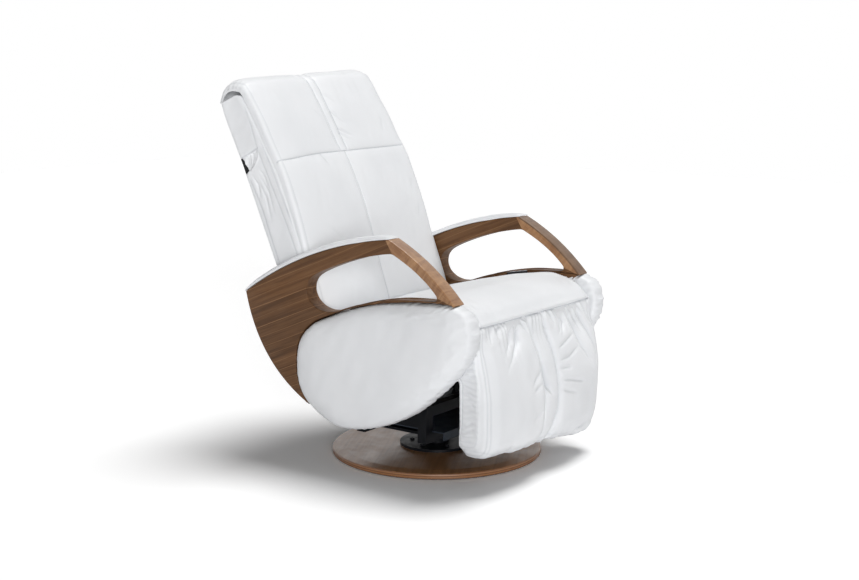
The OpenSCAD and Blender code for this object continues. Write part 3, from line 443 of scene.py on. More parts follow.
def skin_of(shape: tuple[int, int, int]) -> tuple[Array, Array]:
    """Skin of a block of points.

    Args:
        shape: Number of points along each of the block's three directions.

    Returns:
        The three numbers of each point of the skin, and its four-cornered faces.
    """
    ids = np.arange(math.prod(shape)).reshape(shape)
    quads = []
    for axis in range(3):
        for end in (0, -1):
            slab = ids.take(end, axis)
            q = np.stack([slab[:-1, :-1], slab[1:, :-1], slab[1:, 1:], slab[:-1, 1:]], -1).reshape(-1, 4)
            quads.append(q[:, ::-1] if (end == 0) != (axis == 1) else q)
    used, inverse = np.unique(np.concatenate(quads), return_inverse=True)
    return np.stack(np.unravel_index(used, shape), -1), inverse.reshape(-1, 4)


def facing_out(points: Array, quads: Array) -> Array:
    """Turns the faces of a closed skin outwards, by the sign of its volume, the sum of a.(b x c) / 6.

    Args:
        points: Its points.
        quads: Its faces, which all turn the same way.

    Returns:
        The faces, turned where they faced inwards.
    """
    a, b, c, d = (points[quads[:, k]] for k in range(4))
    volume = (a * np.cross(b, c)).sum() + (a * np.cross(c, d)).sum()
    return quads if volume > 0 else quads[:, ::-1]


def point_normals(points: Array, quads: Array) -> Array:
    """Unit normals at the points, each the sum of the cross products of the diagonals of its faces.

    Args:
        points: Points of a skin.
        quads: Its faces.

    Returns:
        A normal for each point.
    """
    a, b, c, d = (points[quads[:, k]] for k in range(4))
    n = np.cross(c - a, d - b)
    total = np.zeros_like(points)
    for k in range(4):
        np.add.at(total, quads[:, k], n)
    return unit(total)


@dataclass
class Block:
    """A closed skin over a block of stations, shaped by a function of its three parameters.

    Attributes:
        a: Stations of the first parameter, across the chair.
        b: Stations of the second, along the piece.
        c: Stations of the third, from the inside out.
    """

    a: Array
    b: Array
    c: Array
    points: Array = field(init=False)
    quads: Array = field(init=False)
    index: Array = field(init=False)

    def shape(self, place: Callable[[Array, Array, Array], Array]) -> "Block":
        """Places the skin's points by a function of a, b and c.

        Args:
            place: Gives the points of arrays of a, b and c.

        Returns:
            The block itself.
        """
        self.index, quads = skin_of((len(self.a), len(self.b), len(self.c)))
        self.points = place(*self.values())
        self.quads = facing_out(self.points, quads)
        return self

    def values(self) -> tuple[Array, Array, Array]:
        """The parameters a, b and c of the skin's points."""
        return self.a[self.index[:, 0]], self.b[self.index[:, 1]], self.c[self.index[:, 2]]

    def lane(self, x: float) -> float:
        """Number of the station of a that lies at x, with its fraction."""
        return float(np.interp(x, self.a, np.arange(len(self.a))))

    def push(self, amount: Array) -> None:
        """Moves each point along its normal."""
        self.points = self.points + point_normals(self.points, self.quads) * amount[:, None]

    def sheet(self) -> Array:
        """The points of the outermost sheet, as a grid of a and b.

        Returns:
            The grid.
        """
        grid = np.zeros((len(self.a), len(self.b), 3))
        top = self.index[:, 2] == len(self.c) - 1
        grid[self.index[top, 0], self.index[top, 1]] = self.points[top]
        return grid

    def mesh(self, name: str, crease: Array) -> Mesh:
        """Makes the mesh, with an attribute of painted shade that the leather darkens by in its seams and creases.

        Args:
            name: Name of the mesh.
            crease: How much painted shade each point has, from 0 to 1.

        Returns:
            The mesh.
        """
        mesh = mesh_of(name, self.points, self.quads)
        attribute = mesh.attributes.new("crease", "FLOAT", "POINT")
        attribute.data.foreach_set("value", np.clip(crease, 0, 1).astype(np.float32))
        return mesh


def stitches(name: str, grid: Array, path: Array, pitch: float = 0.0062, length: float = 0.0042,
             radius: float = 0.00055) -> Mesh:
    """Thread that dips in and out of a sheet, as one small six-sided spindle for each stitch.

    A stitch lies along the path from one needle hole to the next, at its radius times the root of
    1 - t^2 round its middle line, sunk at both ends.

    Args:
        name: Name of the mesh.
        grid: Points of the sheet.
        path: Rows and columns of the grid along the seam, which may be fractions.
        pitch: Distance between needle holes.
        length: Length of a stitch.
        radius: Radius of the thread.

    Returns:
        The mesh of all the stitches.
    """
    up = normals(grid, False)
    ij = even(path, 600)
    i = np.clip(ij[:, 0].astype(int), 0, grid.shape[0] - 2)
    j = np.clip(ij[:, 1].astype(int), 0, grid.shape[1] - 2)
    f, g = (ij[:, 0] - i)[:, None], (ij[:, 1] - j)[:, None]

    def read(a: Array) -> Array:
        """Reads a grid between its four nearest points."""
        return (a[i, j] * (1 - f) + a[i + 1, j] * f) * (1 - g) + (a[i, j + 1] * (1 - f) + a[i + 1, j + 1] * f) * g

    line, lift = read(grid), read(up)
    run = running(line)
    at = np.arange(pitch, run[-1] - pitch, pitch)
    where = (at[:, None] + np.linspace(-0.5, 0.5, 5) * length).reshape(-1)
    mid = read_line(line, where, run).reshape(len(at), 5, 3)
    n = unit(read_line(lift, at, run))
    side = np.cross(unit(mid[:, -1] - mid[:, 0]), n)
    t = np.linspace(-1, 1, 5)
    thick = radius * np.sqrt(1 - 0.9 * t**2)
    sink = radius * (0.6 - 1.5 * t**2)
    mid = mid + n[:, None] * sink[None, :, None]
    turn = np.linspace(0, 2 * np.pi, 6, endpoint=False)
    round_ = side[:, None, None] * np.cos(turn)[:, None] + n[:, None, None] * np.sin(turn)[:, None]
    rings = mid[:, :, None] + round_ * thick[None, :, None, None]
    # Each stitch has five rings of six points, and two faces over each end
    ends = [[0, 5, 4, 1], [1, 4, 3, 2], [24, 25, 28, 29], [25, 26, 27, 28]]
    one = np.concatenate([ring_faces(5, 6), ends])
    quads = (one[None] + 30 * np.arange(len(at))[:, None, None]).reshape(-1, 4)
    return outward(mesh_of(name, rings.reshape(-1, 3), quads))


# Finishes


class Nodes:
    """A material's node tree, with short calls for the nodes that the finishes share."""

    def __init__(self, name: str) -> None:
        """Starts a material with its principled shader.

        Args:
            name: Name of the material.
        """
        self.material = bpy.data.materials.new(name)
        self.material.use_nodes = True
        self.tree = self.material.node_tree
        self.shader = self.tree.nodes["Principled BSDF"]

    def add(self, kind: str, inputs: Optional[dict] = None, **settings: object) -> bpy.types.Node:
        """Adds a node.

        Args:
            kind: Its type, without the leading words ShaderNode.
            inputs: Values or sockets, by the names or numbers of its inputs.
            **settings: Its other settings.

        Returns:
            The node.
        """
        made = self.tree.nodes.new("ShaderNode" + kind)
        for key, value in settings.items():
            setattr(made, key, value)
        for key, value in (inputs or {}).items():
            self.feed(made.inputs[key], value)
        return made

    def feed(self, socket: Socket, value: object) -> None:
        """Links a socket or sets a value.

        Args:
            socket: The input to feed.
            value: A socket, a number or a colour.
        """
        if isinstance(value, Socket):
            self.tree.links.new(value, socket)
        else:
            socket.default_value = (*value, 1.0) if isinstance(value, tuple) and len(value) == 3 and (
                socket.type == "RGBA") else value

    def place(self, turn: Vec3 = (0, 0, 0), scale: Vec3 = (1, 1, 1)) -> Socket:
        """Object coordinates, turned by degrees and then scaled.

        Args:
            turn: Degrees about X, Y and Z.
            scale: Factors along the turned axes.

        Returns:
            The socket of the coordinates.
        """
        at = self.add("TexCoord").outputs["Object"]
        turned_ = self.add("Mapping", {"Vector": at, "Rotation": tuple(math.radians(a) for a in turn)})
        return self.add("Mapping", {"Vector": turned_.outputs[0], "Scale": scale}).outputs[0]

    def noise(self, at: object, scale: float, detail: float = 2.0, rough: float = 0.5,
              twist: float = 0.0) -> Socket:
        """Noise, from 0 to 1."""
        return self.add("TexNoise", {"Vector": at, "Scale": scale, "Detail": detail, "Roughness": rough,
                                     "Distortion": twist}).outputs["Fac"]

    def span(self, value: object, low: float, high: float, out_low: float = 0.0,
             out_high: float = 1.0) -> Socket:
        """Maps low to out_low and high to out_high, held at both ends."""
        return self.add("MapRange", {"Value": value, "From Min": low, "From Max": high, "To Min": out_low,
                                     "To Max": out_high}).outputs["Result"]

    def math(self, operation: str, a: object, b: object = 0.0) -> Socket:
        """Arithmetic on two values."""
        return self.add("Math", {0: a, 1: b}, operation=operation).outputs[0]

    def mix(self, share: object, a: object, b: object) -> Socket:
        """Mixes two colours."""
        return self.add("Mix", {0: share, 6: a, 7: b}, data_type="RGBA").outputs[2]

    def bump(self, height: object, distance: float, strength: float = 1.0,
             normal: Optional[Socket] = None) -> Socket:
        """Bump from a height, on top of another bump where one is given.

        Args:
            height: The height, from 0 to 1.
            distance: What a height of 1 stands for, in metres.
            strength: Share of the bump that shows.
            normal: The bump below it, or None.

        Returns:
            The socket of the normal.
        """
        inputs = {"Height": height, "Distance": distance, "Strength": strength}
        if normal is not None:
            inputs["Normal"] = normal
        return self.add("Bump", inputs).outputs[0]

    def finish(self, **sockets: object) -> Material:
        """Feeds the shader and returns the material.

        Args:
            **sockets: Values or sockets, by the names of the shader's inputs with _ for a space.

        Returns:
            The material.
        """
        for key, value in sockets.items():
            self.feed(self.shader.inputs[key.replace("_", " ")], value)
        return self.material


@dataclass(frozen=True)
class Leather:
    """Soft pigmented leather: fine pebbled grain, faint long wrinkles, and painted shade in its seams and creases.

    Attributes:
        shade: Colour of its cooler patches.
        crease: Colour of the painted shade at the bottom of its seams and creases.
        grain: How many pebbles it has in a metre.
    """

    name: str
    color: Color = (0.81, 0.82, 0.835)
    shade: Color = (0.71, 0.725, 0.745)
    crease: Color = (0.4, 0.42, 0.45)
    grain: float = 560.0
    rough: float = 0.4

    def material(self) -> Material:
        """Builds the node tree.

        Returns:
            The material.
        """
        n = Nodes(self.name)
        at = n.place()
        tone = n.span(n.noise(at, 4.5, 3), 0.35, 0.75, 0.0, 0.55)
        color = n.mix(tone, self.color, self.shade)
        # Painted shade: the colour darkens by the mesh's attribute of painted shade in its seams, folds and creases.
        depth = n.add("Attribute", attribute_name="crease").outputs["Fac"]
        color = n.mix(n.math("MULTIPLY", depth, 0.8), color, self.crease)
        cells = n.add("TexVoronoi", {"Vector": at, "Scale": self.grain, "Randomness": 0.9},
                      feature="DISTANCE_TO_EDGE").outputs["Distance"]
        pebble = n.span(cells, 0.0, 0.16)
        wrinkle = n.noise(at, 46, 5, 0.62, 0.6)
        normal = n.bump(wrinkle, 0.0022, 0.09)
        normal = n.bump(n.noise(at, 1500, 1), 0.0001, 0.5, normal)
        normal = n.bump(pebble, 0.00016, 0.7, normal)
        rough = n.span(n.math("ADD", n.noise(at, 22, 2), n.math("MULTIPLY", pebble, -0.25)), 0.1, 0.7,
                       self.rough - 0.07, self.rough + 0.1)
        return n.finish(Base_Color=color, Roughness=rough, Normal=normal, Specular_IOR_Level=0.42)


@dataclass(frozen=True)
class Wood:
    """Lacquered veneer: broad figure, streaks along the grain, short pores and thin light lines.

    Attributes:
        name: Name of the material.
        dark: Colour of its dark streaks.
        middle: Its main colour.
        light: Colour of its light streaks and lines.
        turn: Turn in degrees about X, Y and Z that brings the grain to run along Y.
        line_pitch: Distance between the thin light lines, or 0 for none.
        cross: How strongly a cross figure shows.
        rough: Roughness of the lacquer under its coat.
        coat: Weight of the clear coat.
        gloss: Level of the reflection under the coat.
    """

    name: str
    dark: Color
    middle: Color
    light: Color
    turn: Vec3 = (0, 0, 0)
    line_pitch: float = 0.028
    cross: float = 0.0
    rough: float = 0.55
    coat: float = 0.0
    gloss: float = 0.16

    def color(self, n: Nodes) -> tuple[Socket, Socket]:
        """The colour and the height of the pores.

        Args:
            n: The tree that it is drawn in.

        Returns:
            The sockets of the colour and of the pores' height.
        """
        figure = n.noise(n.place(self.turn, (6, 1.1, 9)), 1.0, 3, 0.5, 0.9)
        streak = n.noise(n.place(self.turn, (90, 3.2, 95)), 1.0, 4, 0.62, 0.25)
        pores = n.noise(n.place(self.turn, (900, 26, 900)), 1.0, 2, 0.6)
        color = n.mix(n.span(figure, 0.3, 0.72), self.dark, self.middle)
        color = n.mix(n.span(streak, 0.38, 0.75, 0.0, 0.38), color, self.light)
        color = n.mix(n.span(streak, 0.5, 0.3, 0.0, 0.42), color, self.dark)
        if self.line_pitch:
            across = n.add("SeparateXYZ", {0: n.place(self.turn)}).outputs[2]
            drift = n.math("MULTIPLY", n.noise(n.place(self.turn, (2, 1.3, 9)), 1.0, 2), 0.9)
            place = n.math("FRACT", n.math("ADD", n.math("DIVIDE", across, self.line_pitch), drift))
            near = n.math("ABSOLUTE", n.math("SUBTRACT", place, 0.5))
            strength = n.span(n.noise(n.place(self.turn, (3, 2, 30)), 1.0, 1), 0.35, 0.65, 0.35, 0.95)
            color = n.mix(n.math("MULTIPLY", n.span(near, 0.042, 0.012), strength), color, self.light)
        if self.cross:
            cross = n.noise(n.place(self.turn, (14, 55, 14)), 1.0, 3, 0.6, 0.8)
            color = n.mix(n.span(cross, 0.42, 0.7, 0.0, self.cross), color, self.light)
        color = n.mix(n.span(pores, 0.42, 0.3, 0.0, 0.45), color, self.dark)
        return color, n.span(pores, 0.3, 0.5)

    def material(self) -> Material:
        """Builds the node tree.

        Returns:
            The material.
        """
        n = Nodes(self.name)
        color, pores = self.color(n)
        haze = n.noise(n.place(), 30, 3)
        return n.finish(Base_Color=color, Roughness=n.span(haze, 0.3, 0.7, self.rough - 0.06, self.rough + 0.08),
                        Normal=n.bump(pores, 0.0001, 0.5), Coat_Weight=self.coat, Coat_Roughness=0.2,
                        Specular_IOR_Level=self.gloss)


@dataclass(frozen=True)
class Laminate:
    """Wood whose cut edge shows its layers, by the normal of the face and the height across them.

    Attributes:
        name: Name of the material.
        face: The veneer of its faces.
        early: Colour of every other layer in the edge.
        late: Colour of the layers between.
        ply: Thickness of a layer.
        axis: The direction across the layers: 0, 1 or 2.
    """

    name: str
    face: Wood
    early: Color
    late: Color
    ply: float = 0.003
    axis: int = 2

    def material(self) -> Material:
        """Builds the node tree.

        Returns:
            The material.
        """
        n = Nodes(self.name)
        face, pores = self.face.color(n)
        at = n.add("TexCoord")
        across = n.add("SeparateXYZ", {0: at.outputs["Object"]}).outputs[self.axis]
        layer = n.math("FRACT", n.math("DIVIDE", across, 2 * self.ply))
        edge = n.mix(n.span(layer, 0.46, 0.54), self.early, self.late)
        fleck = n.noise(n.place(scale=(220, 220, 2600)), 1.0, 2, 0.6)
        edge = n.mix(n.span(fleck, 0.4, 0.7, 0.0, 0.5), edge, self.late)
        upright = n.math("ABSOLUTE", n.add("SeparateXYZ", {0: at.outputs["Normal"]}).outputs[self.axis])
        color = n.mix(n.span(upright, 0.55, 0.8), edge, face)
        return n.finish(Base_Color=color, Roughness=n.span(n.noise(n.place(), 25, 3), 0.3, 0.7, 0.3, 0.46),
                        Normal=n.bump(pores, 0.0001, 0.4), Coat_Weight=0.18, Coat_Roughness=0.18)


@dataclass(frozen=True)
class Coat:
    """Powder coat or moulded plastic: one colour with specks, an orange-peel bump and rubbed patches.

    Attributes:
        peel: How many bumps it has in a metre.
        depth: Height of the bumps.
        wear: How strongly the specks and rubbed patches show.
    """

    name: str
    color: Color
    rough: float = 0.45
    peel: float = 260.0
    depth: float = 0.0003
    wear: float = 0.12
    gloss: float = 0.5

    def material(self) -> Material:
        """Builds the node tree.

        Returns:
            The material.
        """
        n = Nodes(self.name)
        at = n.place()
        worn = tuple(min(1.0, c * 1.5 + 0.02) for c in self.color)
        color = n.mix(n.span(n.noise(at, 18, 4, 0.6), 0.45, 0.8, 0.0, self.wear * 4), self.color, worn)
        color = n.mix(n.span(n.noise(at, 700, 1), 0.62, 0.75, 0.0, self.wear), color, worn)
        rough = n.span(n.noise(at, 30, 3), 0.3, 0.7, self.rough - 0.06, self.rough + 0.1)
        return n.finish(Base_Color=color, Roughness=rough, Specular_IOR_Level=self.gloss,
                        Normal=n.bump(n.noise(at, self.peel, 2), self.depth, 0.4))


@dataclass(frozen=True)
class Metal:
    """Bare metal with fine marks of grinding along one direction.

    Attributes:
        marks: How fine the marks are along X, Y and Z.
    """

    name: str
    color: Color
    rough: float = 0.28
    marks: Vec3 = (40, 900, 900)

    def material(self) -> Material:
        """Builds the node tree.

        Returns:
            The material.
        """
        n = Nodes(self.name)
        marks = n.noise(n.place(scale=self.marks), 1.0, 3, 0.7)
        dim = tuple(c * 0.72 for c in self.color)
        color = n.mix(n.span(n.noise(n.place(), 14, 3), 0.35, 0.75), self.color, dim)
        rough = n.span(marks, 0.3, 0.7, self.rough - 0.1, self.rough + 0.12)
        return n.finish(Base_Color=color, Metallic=1.0, Roughness=rough, Normal=n.bump(marks, 0.0001, 0.25))


@dataclass(frozen=True)
class Felt:
    """Pressed felt: matted fibres."""

    name: str
    color: Color = (0.05, 0.05, 0.052)

    def material(self) -> Material:
        """Builds the node tree.

        Returns:
            The material.
        """
        n = Nodes(self.name)
        at = n.place()
        fibre = n.noise(at, 900, 4, 0.7, 2.5)
        light = tuple(c * 2.4 for c in self.color)
        return n.finish(Base_Color=n.mix(n.span(fibre, 0.4, 0.75), self.color, light), Roughness=0.95,
                        Normal=n.bump(fibre, 0.0006, 0.8), Sheen_Weight=0.3)


WALNUT_DARK: Color = (0.066, 0.03, 0.012)
WALNUT: Color = (0.122, 0.055, 0.021)
WALNUT_LIGHT: Color = (0.27, 0.14, 0.065)


class Finishes:
    """All the finishes, made once and shared by the pieces."""

    def __init__(self) -> None:
        """Builds each material."""
        top = Wood("disc_veneer", (0.17, 0.078, 0.031), (0.3, 0.145, 0.061), (0.43, 0.23, 0.105), (0, 0, 62), 0.0)
        birch = Wood("birch_veneer", (0.42, 0.29, 0.17), (0.6, 0.45, 0.29), (0.72, 0.58, 0.4), (0, 0, 0), 0.0)
        self.leather = Leather("leather_white_soft").material()
        self.pad_leather = Leather("leather_white_tight", rough=0.43, grain=620).material()
        self.thread = Coat("thread_white", (0.78, 0.79, 0.8), 0.6, 1800, 0.0002).material()
        # Near-black felt for the deep part of each hand hole, where it stands in as painted shadow, and for the floor
        # of the rear cavity.
        self.lining = Felt("lining_black", (0.006, 0.006, 0.007)).material()
        self.arm = Wood("walnut_arm", WALNUT_DARK, WALNUT, WALNUT_LIGHT, (-158, 0, 0), coat=0.12).material()
        self.facing = Wood("walnut_facing", (0.19, 0.083, 0.031), (0.29, 0.136, 0.054), (0.45, 0.25, 0.115),
                           (-36, 0, 0), 0.0, 0.7, 0.34, 0.45, 0.3).material()
        # The far arm's facing is the same veneer in a darker, greyer copy: painted shade on the far arm.
        self.facing_far = Wood("walnut_facing_far", (0.095, 0.052, 0.028), (0.15, 0.085, 0.048), (0.24, 0.145, 0.085),
                               (-36, 0, 0), 0.0, 0.5, 0.4, 0.2, 0.22).material()
        self.disc = Laminate("walnut_layered", top, (0.34, 0.155, 0.06), (0.16, 0.068, 0.028), 0.003).material()
        ply = ((0.62, 0.46, 0.28), (0.36, 0.23, 0.12), 0.0015)
        self.plywood = Laminate("birch_plywood", birch, *ply).material()
        self.ply_side = Laminate("birch_plywood_upright", birch, *ply, 0).material()
        self.ply_leg = Laminate("birch_plywood_leg", birch, *ply, 1).material()
        self.black = Coat("powder_coat_black", (0.003, 0.0036, 0.0052), 0.42, wear=0.04, gloss=0.12).material()
        self.slate = Coat("powder_coat_slate", (0.018, 0.025, 0.036), 0.42, gloss=0.2).material()
        self.grey = Coat("powder_coat_grey", (0.14, 0.15, 0.16), 0.45).material()
        self.steel = Metal("steel_ground", (0.6, 0.6, 0.61)).material()
        self.bronze = Metal("bronze_sintered", (0.5, 0.34, 0.16), 0.42, (300, 300, 300)).material()
        self.plastic = Coat("plastic_black", (0.016, 0.017, 0.02), 0.5, 900, 0.0001, gloss=0.2).material()
        self.ivory = Coat("acetal_ivory", (0.72, 0.7, 0.62), 0.38, 500, 0.0001, 0.04).material()
        self.key = Coat("key_grey", (0.3, 0.31, 0.33), 0.35, 900, 0.0001, 0.05).material()
        self.felt = Felt("felt_black").material()


def linked(name: str, data: bpy.types.ID) -> bpy.types.Object:
    """Makes an object of a mesh, curve, camera or light and puts it into the scene."""
    bpy.context.scene.collection.objects.link(made := bpy.data.objects.new(name, data))
    return made


def placed(name: str, mesh: Mesh, material: Material,
           nodes: Sequence[str] = ()) -> bpy.types.Object:
    """Makes a piece of the chair.

    Args:
        name: Name of the piece.
        mesh: Its mesh.
        material: Its finish, or its last one where the mesh already has some.
        nodes: The nodes that it stands for.

    Returns:
        The piece.
    """
    mesh.materials.append(material)
    piece = linked(name, mesh)
    if nodes:
        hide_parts(*nodes)
    LOG.info("%s: %d faces", name, len(mesh.polygons))
    return piece


def sewn(name: str, grid: Array, path: Array, finishes: Finishes) -> bpy.types.Object:
    """The thread along a path of rows and columns on a sheet, as a piece of the chair."""
    return placed(name, stitches(name, grid, path), finishes.thread)


def sharp_at(mesh: Mesh, degrees: float) -> Mesh:
    """Keeps edges sharp where the faces meet at more than an angle."""
    mesh.set_sharp_from_angle(angle=math.radians(degrees))
    return mesh


# Soft pieces


def shrink(distance: Array, radius: Array) -> Array:
    """How far a face steps back this close to its rim, by a quarter circle: r (1 - sqrt(1 - k^2))."""
    k = np.clip(1.0 - distance / radius, 0.0, 1.0)
    return radius * (1.0 - np.sqrt(1.0 - k * k))


@dataclass
class SeatCushion:
    """Seat cushion with a rolled front lip that the leg cover is sewn under.

    Attributes:
        front: Where its profiles start along the seat's plane.
        base: Height of its underside over that plane.
        edge: Radius of its rims.
        seam: Distance of its side seams from its sides.
        stitch: Distance of their stitches from its sides.
        rows: Number of rows along its profiles.
        row_step: Length that a row stands for in its wrinkles.
        top: Profile over its lip, top and rear, as shares of length and thick.
        low: Profile of its underside, row for row.
    """

    width: float = 0.588
    length: float = 0.51
    thick: float = 0.125
    front: float = -0.0989
    base: float = 0.0124
    edge: float = 0.024
    crown: float = 0.013
    seam: float = 0.017
    stitch: float = 0.0205
    rows: int = 150
    row_step: float = 0.0042
    top: tuple = (
        (0.004, 0.255), (-0.004, 0.3), (0.008, 0.4), (0.02, 0.52), (0.042, 0.63), (0.085, 0.765), (0.146, 0.89),
        (0.212, 0.98), (0.316, 1.01), (0.458, 1.01), (0.604, 0.975), (0.83, 0.882), (0.975, 0.825), (1.035, 0.775))
    low: tuple = (
        (0.02, 0.264), (0.05, 0.28), (0.1, 0.3), (0.15, 0.315), (0.185, 0.3), (0.195, 0.15), (0.2, 0.0), (0.32, 0.0),
        (0.5, 0.0), (0.7, 0.0), (0.904, 0.0), (0.914, 0.4), (0.948, 0.7), (0.951, 0.72))

    def block(self) -> Block:
        """The cushion's skin: a blend of its underside and its top, with the ends of the top rounded off.

        Returns:
            The block.
        """
        half, rows = self.width / 2, self.rows
        scale = np.array([self.length, self.thick])
        top = spline(np.array(self.top) * scale, rows)
        low = even(np.array(self.low) * scale, rows)
        out = left_of(top)
        room = np.linalg.norm(top - low, axis=1)
        a = crowded(-half, half, 130, (-half, half, -half + 0.02, half - 0.02), 0.008, 3.0)

        def place(x: Array, row: Array, c: Array) -> Array:
            """Points of the skin at x, on a row, from 0 inside to 1 outside."""
            t, l, n = (read_line(v, row) for v in (top, low, out))
            radius = np.minimum(self.edge, 0.5 * np.interp(row, np.arange(rows), room))
            back = shrink(half - np.abs(x), radius)
            u, share = x / half, t[:, 0] / self.length
            rise = self.crown * (np.maximum(0, 1 - u**2) - 0.4) * np.maximum(0, 1 - (2 * share - 1) ** 2)
            t = t - n * back[:, None] + np.stack([np.zeros_like(rise), rise], -1)
            p = l * (1 - c[:, None]) + t * c[:, None]
            return SEAT.place(x, self.front + p[:, 0], self.base + p[:, 1])

        return Block(a, np.arange(rows).astype(float), np.linspace(0, 1, 9)).shape(place)

    def build(self, finishes: Finishes) -> None:
        """Dents, wrinkles and its side seams, then the object.

        Args:
            finishes: The shared finishes.
        """
        block = self.block()
        x, row, c = block.values()
        half = self.width / 2
        face = smooth(0.55, 1.0, c)
        run = row * self.row_step
        soft = 0.001 * ripple(x, run, 3, 0.18, 2) + 0.0003 * ripple(x * 0.5, run, 4, 0.07, 1)
        pull = 0.0003 * ripple(x * 4.0, run * 0.7, 5, 0.11, 2) * bell(row, 8, 14) * smooth(0.0, 0.2, np.abs(x) + 0.05)
        corner = creases(np.abs(x), run, (
            Crease(((0.238, 0.045), (0.262, 0.105)), 0.0016, 0.005, 0.5, True),
            Crease(((0.215, 0.06), (0.232, 0.15)), 0.001, 0.006, 0.5, True),
            Crease(((0.268, 0.13), (0.262, 0.22)), 0.0012, 0.005, 0.5, True)))
        seam = stripe(np.abs(x), half - self.seam, 0.0022) * face
        block.push(face * (soft - pull - corner) - 0.0012 * seam)
        # Painted shade in the side seams and the corner wrinkles.
        mesh = sharp_at(block.mesh("seat_cushion_leather", 0.3 * seam + 120 * corner * face), 55)
        piece = placed("seat_cushion_leather", mesh, finishes.leather, ["seat_cushion"])
        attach(piece, "chair")
        grid = block.sheet()
        for side in Side:
            path = np.stack([np.full(60, block.lane(side.value * (half - self.stitch))), np.linspace(6, 140, 60)], -1)
            thread = sewn(f"seat_stitches_{side.word}", grid, path, finishes)
            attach(thread, "chair")


